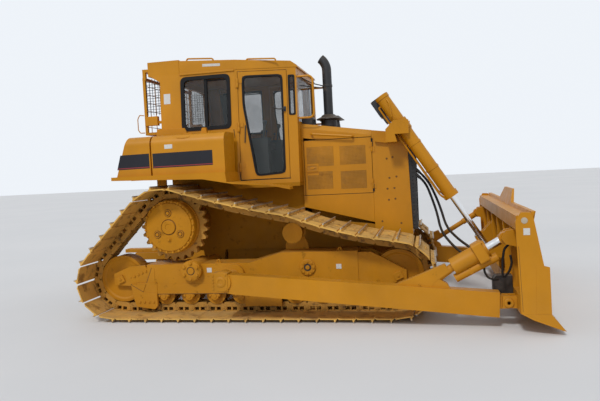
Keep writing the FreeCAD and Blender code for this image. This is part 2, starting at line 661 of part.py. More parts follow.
def make_lift_rod(y):
    piston_at = CYL_REACH - ROD_PISTON_FROM_GLAND
    piston = rod_between(on_cylinder(piston_at, y), on_cylinder(piston_at + 70.0, y), CYL_BORE - RUN_CLEAR)
    rod = rod_between(on_cylinder(piston_at + 1.0, y), on_cylinder(CYL_LENGTH - 20.0, y), ROD_R)
    eye = cross_rod(CYL_EYE[0], CYL_EYE[1], EYE_R, y - EYE_WIDTH / 2.0, y + EYE_WIDTH / 2.0)
    return fused([piston, rod, eye])


def make_lift_support():
    """Bracket on the right side of the radiator guard with the yoke that holds the cylinder's trunnions."""
    y = -CYL_Y
    x, z = CYL_TRUNNION
    inner = y + CYL_R + 26.0
    outer = y - CYL_R - 26.0
    arm = side_prism([(2420.0, 2085.0), (2420.0, 1990.0), (2800.0, 1930.0), (x + 90.0, z - 90.0),
                      (x + 90.0, z + 60.0), (x - 40.0, z + 70.0), (x - 80.0, z - 40.0)], inner, -GUARD_HALF)
    plate = side_prism([(x - 95.0, z - 100.0), (x + 80.0, z - 100.0), (x + 80.0, z + 62.0), (x - 95.0, z + 62.0)],
                       outer - 34.0, outer)
    bridge = side_prism([(x - 190.0, z - 190.0), (x - 60.0, z - 190.0), (x - 94.0, z - 60.0), (x - 190.0, z - 60.0)],
                        outer - 34.0, inner + 1.0)
    keep = side_prism([(x - 190.0, z - 190.0), (x - 94.0, z - 190.0), (x - 94.0, z + 62.0), (x - 190.0, z - 40.0)],
                      outer - 34.0, outer)
    pieces = fused([arm, plate, keep, bridge])
    hole = cross_rod(x, z, 42.0 + RUN_CLEAR, outer - 60.0, inner + 60.0)
    clear = rod_between(on_cylinder(-700.0, y), on_cylinder(700.0, y), CYL_R + 34.0)
    return pieces.cut(hole).cut(clear)


def make_rear_case():
    case = side_prism([(-430.0, 700.0), (PIVOT_X - 150.0, 700.0), (PIVOT_X - 110.0, PIVOT_Z - 110.0),
                       (PIVOT_X + 110.0, PIVOT_Z - 110.0), (PIVOT_X + 150.0, 700.0), (420.0, 700.0),
                       (420.0, 1499.7), (-260.0, 1499.7), (-430.0, 1380.0)], -CASE_HALF, CASE_HALF)
    case = case.cut(cross_rod(PIVOT_X, PIVOT_Z, PIVOT_R + RUN_CLEAR, -CASE_HALF - 1.0, CASE_HALF + 1.0))
    axle_end = TRACK_CENTRE - 120.0 - RUN_CLEAR
    left = cross_rod(0.0, SPROCKET_Z, 235.0, CASE_HALF - 1.0, axle_end)
    return fused([case, left, mirrored(left)])


def make_main_frame():
    rail = side_prism([(420.3, 700.0), (2780.0, 700.0), (2780.0, 829.7), (2378.0, 829.7), (2378.0, 980.0),
                       (420.3, 1180.0)], -CASE_HALF, -CASE_HALF + FRAME_SIDE)
    ties = [box(420.3, 520.0, -CASE_HALF + 1.0, CASE_HALF - 1.0, 700.0, 900.0),
            box(1640.0, 1740.0, -CASE_HALF + 1.0, CASE_HALF - 1.0, 700.0, ENGINE_LOW_Z - RUN_CLEAR),
            box(1330.0, 1420.0, -CASE_HALF + 1.0, CASE_HALF - 1.0, 700.0, 840.0),
            box(2640.0, 2780.0, -CASE_HALF + 1.0, CASE_HALF - 1.0, 700.0, 828.0)]
    return fused([rail, mirrored(rail)] + ties)


def make_belly_guard():
    shell = side_prism([(430.0, 560.0), (1000.0, 500.0), (2500.0, 500.0), (2790.0, 640.0), (2790.0, 699.7),
                        (430.0, 699.7)], -430.0, 430.0)
    notch = box(EQUALIZER_X - 75.0, EQUALIZER_X + 75.0, -500.0, 500.0, EQUALIZER_Z - 58.0, 800.0)
    return shell.cut(notch)


def make_drawbar():
    plates = [box(DRAWBAR_END_X, -200.0, -70.0, 70.0, 640.0, 690.0)]
    boss = box(-432.0, -300.0, -200.0, 200.0, 560.0, 699.7)
    pin = Part.makeCylinder(DRAWBAR_PIN_R, 200.0, V(DRAWBAR_END_X + 70.0, 0, 560.0), V(0, 0, 1))
    return fused(plates + [boss]).cut(pin)


def make_fender():
    """Right fender over the track: platform behind the door, step below it, curved lower edge."""
    outline = [(-640.0, FENDER_Z), (FENDER_STEP_X - 15.0, FENDER_Z), (FENDER_STEP_X, 1595.0), (860.0, 1590.0),
               (FENDER_FRONT_X, 1500.0), (FENDER_FRONT_X, 1470.0), (1240.0, 1530.0), (860.0, 1570.0),
               (500.0, 1640.0), (-640.0, FENDER_Z - 40.0)]
    slab = side_prism(outline, -FENDER_OUTER, -FENDER_INNER)
    corner = plan_prism([(860.0, -FENDER_OUTER - 1.0), (FENDER_FRONT_X + 1.0, -FENDER_OUTER - 1.0),
                         (FENDER_FRONT_X + 1.0, -1080.0)], 1400.0, 1800.0)
    apron = box(-640.0, POST_REAR_X - 0.3, -FENDER_INNER - 1.0, -300.0, FENDER_Z - 52.0, FENDER_Z - 12.0)
    flange = box(POST_REAR_X, FENDER_STEP_X - 16.0, -FENDER_INNER - 1.0, -CAB_REAR_HALF - 0.3, FENDER_Z - 52.0,
                 FENDER_Z - 12.0)
    return fused([slab.cut(corner), apron, flange])


def make_tank(sign):
    """Tank beside the cab: a rear section with slanted back and a front section, rounded above."""
    y_out = -TANK_OUTER
    y_in = -CAB_REAR_HALF - 60.0
    rear = side_prism([(-600.0, FENDER_Z + 0.3), (-160.0, FENDER_Z + 0.3), (-160.0, 2180.0), (-450.0, 2180.0)],
                      y_out, y_in)
    front = side_prism([(-140.0, FENDER_Z + 0.3), (760.0, FENDER_Z + 0.3), (760.0, 2180.0), (-140.0, 2180.0)],
                       y_out, y_in)
    neck = box(-161.0, -139.0, y_out + 40.0, y_in, FENDER_Z + 40.0, 2120.0)
    edges = []
    for edge in front.Edges:
        box_of = edge.BoundBox
        if box_of.YLength < 1.0 and abs(box_of.YMax - y_out) < 1.0 and box_of.ZMin > 2100.0:
            edges.append(edge)
    front = front.makeFillet(110.0, edges)
    edges = []
    for edge in rear.Edges:
        box_of = edge.BoundBox
        if box_of.YLength < 1.0 and abs(box_of.YMax - y_out) < 1.0 and box_of.ZMin > 2100.0:
            edges.append(edge)
    rear = rear.makeFillet(110.0, edges)
    tank = fused([rear, front, neck])
    return tank if sign > 0 else mirrored(tank)


def cab_half(x, z):
    """Half width of the cab's outer skin at a place along the machine and a height."""
    lean = (z - CAB_FLOOR_Z) * CAB_LEAN
    if x <= CAB_BEND_X:
        return CAB_REAR_HALF - lean
    share = (x - CAB_BEND_X) / (CAB_FRONT_X - CAB_BEND_X)
    return CAB_REAR_HALF + (CAB_FRONT_HALF - CAB_REAR_HALF) * share - lean


def panel_prism(outline, depth, inset=0.0):
    """Panel of the cab's right side: corners (x, z) on the skin, inset inwards, with a depth."""
    outer = [V(x, -cab_half(x, z) + inset, z) for x, z in outline]
    face = Part.Face(Part.makePolygon(outer + [outer[0]]))
    return face.extrude(V(0, depth, 0))


def make_cab_hinges(low, high, x_end):
    """Barrels and plates of one half of the right cab door's hinges, along the leaning hinge line."""
    pieces = []
    for z in DOOR_HINGES_Z:
        ends = [V(DOOR_HINGE_X, -cab_half(DOOR_HINGE_X, h) - DOOR_HINGE_OUT, h) for h in (z + low, z + high)]
        x0, x1 = sorted((DOOR_HINGE_X, x_end))
        z0, z1 = z + low + 1.0, z + high - 1.0
        plate = panel_prism([(x0, z0), (x1, z0), (x1, z1), (x0, z1)], 8.5, -8.0)
        pieces.append(fused([rod_between(ends[0], ends[1], DOOR_HINGE_R), plate]))
    return Part.makeCompound(pieces)


def make_cab_side():
    """Right cab side: rear panel with the sliding window's hole and the frame round the door."""
    rear = panel_prism([(POST_FRONT_X, ARCH_Z), (ARCH_X, ARCH_Z), (CAB_BEND_X, CAB_FLOOR_Z), (CAB_BEND_X, CAB_TOP_Z),
                        (POST_FRONT_X, CAB_TOP_Z)], WALL)
    window = panel_prism([(80.0, 2262.0), (690.0, 2262.0), (690.0, 2900.0), (80.0, 2900.0)], WALL * 3.0, -WALL)
    front = panel_prism([(CAB_BEND_X, CAB_FLOOR_Z), (CAB_FRONT_X, CAB_FLOOR_Z), (CAB_FRONT_X, CAB_TOP_Z),
                         (CAB_BEND_X, CAB_TOP_Z)], WALL)
    doorway = panel_prism([(800.0, 1600.0), (1390.0, 1600.0), (1390.0, 2935.0), (800.0, 2935.0)],
                          WALL * 3.0, -WALL)
    corner = panel_prism([(1410.0, 2380.0), (1475.0, 2380.0), (1475.0, 2860.0), (1410.0, 2860.0)],
                         WALL * 3.0, -WALL)
    hinges = make_cab_hinges(-55.0, -RUN_CLEAR, CAB_BEND_X + 2.0)
    return fused([rear.cut(window), front.cut(doorway).cut(corner), hinges])


def make_cab_door():
    leaf = panel_prism([(800.0 + DOOR_GAP, 1600.0 + DOOR_GAP), (1390.0 - DOOR_GAP, 1600.0 + DOOR_GAP),
                        (1390.0 - DOOR_GAP, 2935.0 - DOOR_GAP), (800.0 + DOOR_GAP, 2935.0 - DOOR_GAP)], WALL)
    light = panel_prism([(862.0, 2520.0), (862.0, 2872.0), (1330.0, 2872.0), (1330.0, 1672.0), (990.0, 1650.0)],
                        WALL * 3.0, -WALL)
    return fused([leaf.cut(light), make_cab_hinges(0.0, 55.0, 856.0)])


def make_door_glass():
    return panel_prism([(862.3, 2520.0), (862.3, 2871.7), (1329.7, 2871.7), (1329.7, 1672.3), (990.2, 1650.6)],
                       GLASS, 18.0)


def cab_room(inset):
    """Space between the cab's two sides, that far inside their skins."""
    rear = [(POST_REAR_X - 50.0, CAB_FLOOR_Z - 200.0), (CAB_BEND_X, CAB_FLOOR_Z - 200.0),
            (CAB_BEND_X, CAB_TOP_Z + 200.0), (POST_REAR_X - 50.0, CAB_TOP_Z + 200.0)]
    front = [(CAB_BEND_X, CAB_FLOOR_Z - 200.0), (CAB_FRONT_X + 60.0, CAB_FLOOR_Z - 200.0),
             (CAB_FRONT_X + 60.0, CAB_TOP_Z + 200.0), (CAB_BEND_X, CAB_TOP_Z + 200.0)]
    rooms = []
    for outline in (rear, front):
        right = panel_prism(outline, 3.0 * CAB_REAR_HALF, inset)
        rooms.append(right.common(mirrored(right)))
    return rooms[0].fuse(rooms[1])


def make_cab_floor():
    low = CAB_FLOOR_Z - FLOOR_THICK
    outline = [(POST_REAR_X, ARCH_Z), (ARCH_X, ARCH_Z), (CAB_BEND_X, CAB_FLOOR_Z), (CAB_FRONT_X, CAB_FLOOR_Z),
               (CAB_FRONT_X, low), (CAB_BEND_X - 20.0, low), (ARCH_X - 20.0, ARCH_Z - FLOOR_THICK),
               (POST_REAR_X, ARCH_Z - FLOOR_THICK)]
    arches = side_prism(outline, -CAB_REAR_HALF, CAB_REAR_HALF)
    well = fused([box(POST_REAR_X - 1.0, CAB_BEND_X - 21.0, -WELL_HALF, WELL_HALF, low - 1.0, ARCH_Z + 1.0),
                  box(CAB_BEND_X - 22.0, CAB_BEND_X, -WELL_HALF, WELL_HALF, CAB_FLOOR_Z, ARCH_Z + 1.0)])
    tub = box(POST_REAR_X, CAB_BEND_X - 20.0, -WELL_HALF - FLOOR_THICK, WELL_HALF + FLOOR_THICK, low, ARCH_Z)
    tub = tub.cut(box(POST_REAR_X - 1.0, CAB_BEND_X, -WELL_HALF, WELL_HALF, CAB_FLOOR_Z, ARCH_Z + 1.0))
    tub = tub.cut(side_prism([(ARCH_X, ARCH_Z), (CAB_BEND_X, CAB_FLOOR_Z), (CAB_BEND_X, ARCH_Z + 5.0),
                              (ARCH_X, ARCH_Z + 5.0)], -CAB_REAR_HALF, CAB_REAR_HALF))
    return fused([arches.cut(well), tub]).common(cab_room(0.0))


def rear_window_half():
    """Half width of the rear window, which keeps its distance from the roll-over posts."""
    return cab_half(0.0, CAB_TOP_Z) - POST_DEPTH - REAR_WINDOW_EDGE


def windscreen_half():
    """Half width of the windscreen, which keeps its distance from the cab's sides."""
    return cab_half(CAB_FRONT_X, CAB_TOP_Z) - WALL - WINDSCREEN_EDGE


def make_cab_rear_wall():
    wall = box(CAB_REAR_X, CAB_REAR_X + WALL, -CAB_REAR_HALF, CAB_REAR_HALF, ARCH_Z, CAB_TOP_Z)
    wall = wall.fuse(box(CAB_REAR_X, CAB_REAR_X + WALL, -WELL_HALF, WELL_HALF, CAB_FLOOR_Z, ARCH_Z))
    wall = wall.removeSplitter()
    half = rear_window_half()
    window = box(CAB_REAR_X - 10.0, CAB_REAR_X + WALL + 10.0, -half, half, 2240.0, 2880.0)
    return wall.common(cab_room(POST_DEPTH)).cut(window)


def make_cab_front_wall():
    wall = box(CAB_FRONT_X - WALL, CAB_FRONT_X, -CAB_REAR_HALF, CAB_REAR_HALF, CAB_FLOOR_Z, CAB_TOP_Z)
    half = windscreen_half()
    window = box(CAB_FRONT_X - WALL - 10.0, CAB_FRONT_X + 10.0, -half, half, 2300.0, 2880.0)
    return wall.common(cab_room(WALL)).cut(window)


def make_cab_glass():
    """Fixed panes: two sliding side panes a side, the corner lights, the windscreen and the rear pane."""
    panes = []
    for outline, inset in ((((80.3, 2262.3), (395.0, 2262.3), (395.0, 2899.7), (80.3, 2899.7)), 16.0),
                           (((375.0, 2262.3), (689.7, 2262.3), (689.7, 2899.7), (375.0, 2899.7)), 28.0),
                           (((1410.3, 2380.3), (1474.7, 2380.3), (1474.7, 2859.7), (1410.3, 2859.7)), 16.0)):
        pane = panel_prism(outline, GLASS, inset)
        panes += [pane, mirrored(pane)]
    for x, half, low in ((CAB_FRONT_X - 30.0, windscreen_half(), 2300.0), (CAB_REAR_X + 16.0, rear_window_half(), 2240.0)):
        panes.append(box(x, x + GLASS, -half + RUN_CLEAR, half - RUN_CLEAR, low + RUN_CLEAR, 2880.0 - RUN_CLEAR))
    return Part.makeCompound(panes)


def make_rops():
    """Roll-over frame: two leaning box posts, rear cross beam and its overhang."""
    post = panel_prism([(POST_REAR_X, ARCH_Z), (POST_FRONT_X, ARCH_Z), (POST_FRONT_X, CAB_TOP_Z + 1.0),
                        (POST_REAR_X, CAB_TOP_Z + 1.0)], POST_DEPTH)
    gusset = panel_prism([(POST_REAR_X + 1.0, 2880.0), (POST_REAR_X + 1.0, CAB_TOP_Z + 40.0),
                          (ROOF_REAR_X, CAB_TOP_Z + 40.0), (ROOF_REAR_X, CAB_TOP_Z + 20.0)], 40.0)
    half = cab_half(0.0, CAB_TOP_Z)
    beam = side_prism([(ROOF_REAR_X, CAB_TOP_Z), (POST_FRONT_X, CAB_TOP_Z), (POST_FRONT_X, ROOF_REAR_Z),
                       (ROOF_REAR_X, ROOF_REAR_Z)], -half, half)
    return fused([post, mirrored(post), gusset, mirrored(gusset), beam])


def make_roof():
    half = cab_half(0.0, CAB_TOP_Z)
    slab = side_prism([(POST_FRONT_X, CAB_TOP_Z), (CAB_FRONT_X + 25.0, CAB_TOP_Z), (CAB_FRONT_X + 10.0, 2990.0),
                       (1440.0, ROOF_FRONT_Z), (POST_FRONT_X, ROOF_REAR_Z - 12.0)], -half, half)
    return slab.common(cab_room(-6.0))


def make_rear_screen():
    """Guard behind the rear window: tube frame with side returns and a coarse wire grid."""
    half = SCREEN_HALF
    bar = 34.0
    pieces = [box(SCREEN_X, SCREEN_X + bar, -half, -half + bar, 2230.0, CAB_TOP_Z),
              box(SCREEN_X, SCREEN_X + bar, half - bar, half, 2230.0, CAB_TOP_Z),
              box(SCREEN_X, SCREEN_X + bar, -half, half, 2230.0, 2230.0 + bar),
              box(SCREEN_X, SCREEN_X + bar, -half, half, CAB_TOP_Z - bar, CAB_TOP_Z)]
    for side in (-1.0, 1.0):
        y0 = side * (half - bar / 2.0) - bar / 2.0
        pieces.append(box(SCREEN_X, POST_REAR_X, y0, y0 + bar, 2230.0, 2230.0 + bar))
        pieces.append(box(SCREEN_X, POST_REAR_X, y0, y0 + bar, 2370.0, 2370.0 + bar))
    wire = 7.0
    rows, columns = 7, 10
    for i in range(1, rows):
        z = 2230.0 + (CAB_TOP_Z - 2230.0) * i / rows
        pieces.append(box(SCREEN_X + 12.0, SCREEN_X + 12.0 + wire, -half + 1.0, half - 1.0, z, z + wire))
    for i in range(1, columns):
        y = -half + 2.0 * half * i / columns
        pieces.append(box(SCREEN_X + 12.0, SCREEN_X + 12.0 + wire, y, y + wire, 2231.0, CAB_TOP_Z - 1.0))
    return fused(pieces)


def make_hood():
    top = [(HOOD_REAR_X, 2275.0), (HOOD_FRONT_X, 2140.0), (HOOD_FRONT_X, 2120.0), (HOOD_REAR_X, 2255.0)]
    sheet = side_prism(top, -BODY_HALF + 60.0, BODY_HALF - 60.0)
    bevel = []
    for side in (-1.0, 1.0):
        y_edge = side * BODY_HALF
        y_in = side * (BODY_HALF - 60.0)
        loop = [V(HOOD_REAR_X, y_in, 2275.0), V(HOOD_REAR_X, y_edge, 2215.0), V(HOOD_REAR_X, y_edge, 2090.0),
                V(HOOD_REAR_X, y_edge - side * PANEL, 2090.0), V(HOOD_REAR_X, y_edge - side * PANEL, 2205.0),
                V(HOOD_REAR_X, y_in, 2255.0)]
        drop = V(HOOD_FRONT_X - HOOD_REAR_X, 0, -135.0)
        face = Part.Face(Part.makePolygon(loop + [loop[0]]))
        bevel.append(face.extrude(drop).cut(box(HOOD_REAR_X - 1.0, HOOD_FRONT_X + 1.0, -600.0, 600.0, 1900.0,
                                                DOOR_TOP_Z + 6.0)))
    sides = []
    for side in (-1.0, 1.0):
        y0 = side * (BODY_HALF - PANEL / 2.0) - PANEL / 2.0
        sides.append(box(HOOD_REAR_X, ENGINE_DOOR_X0 - DOOR_GAP, y0, y0 + PANEL, 1300.0, 2110.0))
        sides.append(side_prism([(HOOD_REAR_X, 1220.0), (HOOD_FRONT_X, 1000.0), (HOOD_FRONT_X, DOOR_LOW_Z - 6.0),
                                 (HOOD_REAR_X, DOOR_LOW_Z - 6.0)], y0, y0 + PANEL))
    return fused([sheet] + bevel + sides)


def make_engine_door():
    """Right engine door with four sunk mesh fields and a latch box."""
    y_out = -BODY_HALF
    leaf = box(ENGINE_DOOR_X0, ENGINE_DOOR_X1, y_out, y_out + PANEL, DOOR_LOW_Z, DOOR_TOP_Z)
    leaf = fused([leaf, make_engine_hinges(0.0, 60.0, -1.0)])
    for x0, x1, z0, z1 in MESH_FIELDS:
        leaf = leaf.cut(box(x0, x1, y_out - 1.0, y_out + 8.0, z0, z1))
    return leaf


def make_radiator_guard():
    rear = HOOD_FRONT_X + RUN_CLEAR
    outline = [(rear, 830.0), (2840.0, 830.0), (2806.0, 2040.0), (2740.0, 2085.0), (rear, 2135.0)]
    shell = side_prism(outline, -GUARD_HALF, GUARD_HALF)
    hollow = box(HOOD_FRONT_X - 100.0, 2780.0, -GUARD_HALF + 40.0, GUARD_HALF - 40.0, 800.0, 2050.0)
    mouth = box(2700.0, 2900.0, -GUARD_HALF + 60.0, GUARD_HALF - 60.0, 930.0, 1960.0)
    hinges = make_engine_hinges(-60.0, -RUN_CLEAR, 1.0)
    return fused([shell.cut(hollow).cut(mouth), hinges, mirrored(hinges)])


def make_engine_hinges(low, high, way):
    """Barrels and plates of one half of the right engine door's hinges."""
    x, y = ENGINE_HINGE_X, -BODY_HALF - ENGINE_HINGE_OUT
    pieces = []
    for z in ENGINE_HINGES_Z:
        pieces.append(Part.makeCylinder(ENGINE_HINGE_R, high - low, V(x, y, z + low), V(0, 0, 1)))
        x0, x1 = sorted((x, x + way * 36.0))
        pieces.append(box(x0, x1, -BODY_HALF - 7.0, -BODY_HALF + 0.5, z + low, z + high))
    return Part.makeCompound([fused(pieces[i:i + 2]) for i in range(0, len(pieces), 2)])


def make_grille():
    """Black grille: a frame before the guard's mouth with level louvres."""
    x0, x1 = 2800.0, 2900.0
    half = GUARD_HALF - 30.0
    bar = 36.0
    low, high = 900.0, 1930.0
    pieces = [box(x0, x1, -half, -half + bar, low, high), box(x0, x1, half - bar, half, low, high),
              box(x0, x1, -half, half, low, low + bar), box(x0, x1, -half, half, high - bar, high)]
    for i in range(1, LOUVRES + 1):
        z = low + (high - low) * i / (LOUVRES + 1)
        pieces.append(side_prism([(x0 + 45.0, z - 12.0), (x1 - 8.0, z + 6.0), (x1 - 8.0, z + 12.0),
                                  (x0 + 45.0, z - 6.0)], -half + bar - 1.0, half - bar + 1.0))
    for route in HOSE_ROUTES.values():
        x, y, z = route[0]
        foot, end = V(x - 75.0, y, z + 75.0), V(x - 0.2, y, z + 0.2)
        pieces.append(rod_between(foot, end, 20.0))
    return fused(pieces).cut(make_radiator_guard())


def above_hood(shape):
    """The piece without what lies under the hood's sloping top."""
    slope = (HOOD_FRONT_Z - HOOD_REAR_Z) / (HOOD_FRONT_X - HOOD_REAR_X)
    x0, x1 = HOOD_REAR_X - 400.0, HOOD_FRONT_X + 400.0
    under = side_prism([(x0, 1500.0), (x1, 1500.0), (x1, HOOD_REAR_Z + 0.3 + slope * (x1 - HOOD_REAR_X)),
                        (x0, HOOD_REAR_Z + 0.3 + slope * (x0 - HOOD_REAR_X))], -900.0, 900.0)
    return shape.cut(under)


def make_stack():
    """Exhaust stack: straight pipe with a top that curves back, on a clamp collar."""
    x, y = STACK_X, STACK_Y
    pipe = Part.makeCylinder(STACK_R, 2960.0 - 2200.0, V(x, y, 2200.0), V(0, 0, 1))
    ring = Part.Face(Part.Wire(Part.makeCircle(STACK_R, V(x, y, 2960.0), V(0, 0, 1))))
    elbow = ring.revolve(V(x - 200.0, y, 2960.0), V(0, -1, 0), 50)
    collar = Part.makeCylinder(STACK_R + 34.0, 92.0, V(x, y, 2200.0), V(0, 0, 1))
    return above_hood(fused([pipe, elbow, collar]))


def make_intake_covers():
    """Precleaner with a flared skirt, and the rounded black cap between it and the cab."""
    x, y = STACK_X, PRECLEANER_Y
    bowl = Part.makeCone(112.0, 96.0, 120.0, V(x, y, 2215.0), V(0, 0, 1))
    skirt = Part.makeCone(PRECLEANER_R, 92.0, 60.0, V(x, y, 2334.0), V(0, 0, 1))
    cap = box(CAP_X0, CAP_X1, CAP_Y0, CAP_Y1, 2180.0, CAP_TOP_Z)
    round_edges = [edge for edge in cap.Edges
                   if edge.BoundBox.XMax > CAP_X1 - 1.0 and (edge.BoundBox.ZMin > CAP_TOP_Z - 1.0
                                                             or edge.BoundBox.ZLength > 100.0)]
    cap = cap.makeFillet(34.0, round_edges)
    return Part.makeCompound([above_hood(fused([bowl, skirt])), above_hood(cap)])


def make_hood_rail():
    """Right hand rail along the hood, above the engine door."""
    y_face = -BODY_HALF - 0.3
    stand = 60.0
    return tube([(1640.0, y_face, 2130.0), (1640.0, y_face - stand, 2130.0), (2150.0, y_face - stand, 2072.0),
                 (2150.0, y_face, 2072.0)], 13.0)


def make_cab_rail():
    """Right grab rail: a loop that stands forward from the cab's front corner."""
    y, face, reach = -600.0, CAB_FRONT_X + RUN_CLEAR, 1700.0
    return tube([(face, y, 2845.0), (reach, y, 2845.0), (reach, y, 2335.0), (face, y, 2335.0)], 13.0, 0.3)


def make_seat_cushions():
    base = box(SEAT_X, SEAT_X + 520.0, -260.0, 260.0, 1985.3, 2110.0)
    back = side_prism([(SEAT_X - 20.0, 2110.3), (SEAT_X + 100.0, 2110.3), (SEAT_X + 10.0, 2740.0),
                       (SEAT_X - 100.0, 2740.0)], -250.0, 250.0)
    return Part.makeCompound([base, back])


def make_consoles():
    right = box(SEAT_X + 40.0, 1060.0, -470.0, -290.0, CAB_FLOOR_Z, 2130.0)
    lever = rod_between(V(980.0, -380.0, 2129.0), V(1010.0, -380.0, 2330.0), 14.0)
    knob = Part.makeSphere(30.0, V(1010.0, -380.0, 2330.0))
    return both(fused([right, lever, knob]))


def make_dash():
    panel = side_prism([(1270.0, 1545.0), (1440.0, 1545.0), (1440.0, 2230.0), (1380.0, 2250.0), (1250.0, 2120.0),
                        (1270.0, 1900.0)], -400.0, 400.0)
    return panel


def make_hose(name):
    """One tilt hose, as the half that the tractor carries and the half that the blade carries."""
    whole = tube(HOSE_ROUTES[name], HOSE_R)
    near = box(2500.0, 4000.0, HOSE_SPLIT_Y + RUN_CLEAR / 2.0, 0.0, 300.0, 2000.0)
    far = box(2500.0, 4000.0, -2000.0, HOSE_SPLIT_Y - RUN_CLEAR / 2.0, 300.0, 2000.0)
    return whole.common(near), whole.common(far)


def make_valve_block():
    """Black valve block behind the blade, on the side of the outer rib."""
    return side_prism([(3655.0, 300.0), (3720.0, 262.0), (3850.0, 262.0), (3850.0, 492.0), (3690.0, 492.0),
                       (3655.0, 460.0)], -ARM_INNER + VALVE_INSET, -ARM_INNER + VALVE_INSET + VALVE_WIDTH)


def make_hose_ports():
    """Port blocks on the inner side of the tilt cylinder's barrel, where the hoses end."""
    ports = []
    for route in HOSE_ROUTES.values():
        x, y, z = route[-1]
        y0, y1 = sorted((y, -ARM_INNER - 8.0))
        ports.append(box(x - 24.0, x + 24.0, y0, y1, z - 24.0, z + 24.0))
    return ports


def tube(points, radius, share=0.45):
    """Hose along straight runs that are joined by tangent arcs as large as the runs allow."""
    pts = [V(*p) for p in points]
    edges = []
    bends = []
    last = pts[0]
    for a, b, c in zip(pts, pts[1:], pts[2:]):
        into, out = b.sub(a), c.sub(b)
        cut = share * min(into.Length, out.Length)
        d0, d1 = V(into).normalize(), V(out).normalize()
        start, end = b.sub(V(d0).multiply(cut)), b.add(V(d1).multiply(cut))
        turn = math.acos(max(-1.0, min(1.0, d0.dot(d1))))
        bend = cut / math.tan(turn / 2.0)
        inward = d1.sub(d0).normalize()
        centre = b.add(V(inward).multiply(math.hypot(bend, cut)))
        middle = centre.sub(V(inward).multiply(bend))
        edges.append(Part.LineSegment(last, start).toShape())
        edges.append(Part.Arc(start, middle, end).toShape())
        last = end
        bends.append(bend)
    edges.append(Part.LineSegment(last, pts[-1]).toShape())
    spine = Part.Wire(edges)
    ring = Part.Wire(Part.makeCircle(radius, pts[0], pts[1].sub(pts[0])))
    pipe = spine.makePipeShell([ring], True, False)
    share_of_ideal = pipe.Volume / (math.pi * radius ** 2 * spine.Length)
    print("tube of radius %.0f: length %.0f, volume against section times length %.4f, bend radii %s"
          % (radius, spine.Length, share_of_ideal, " ".join("%.0f" % bend for bend in bends)))
    return pipe


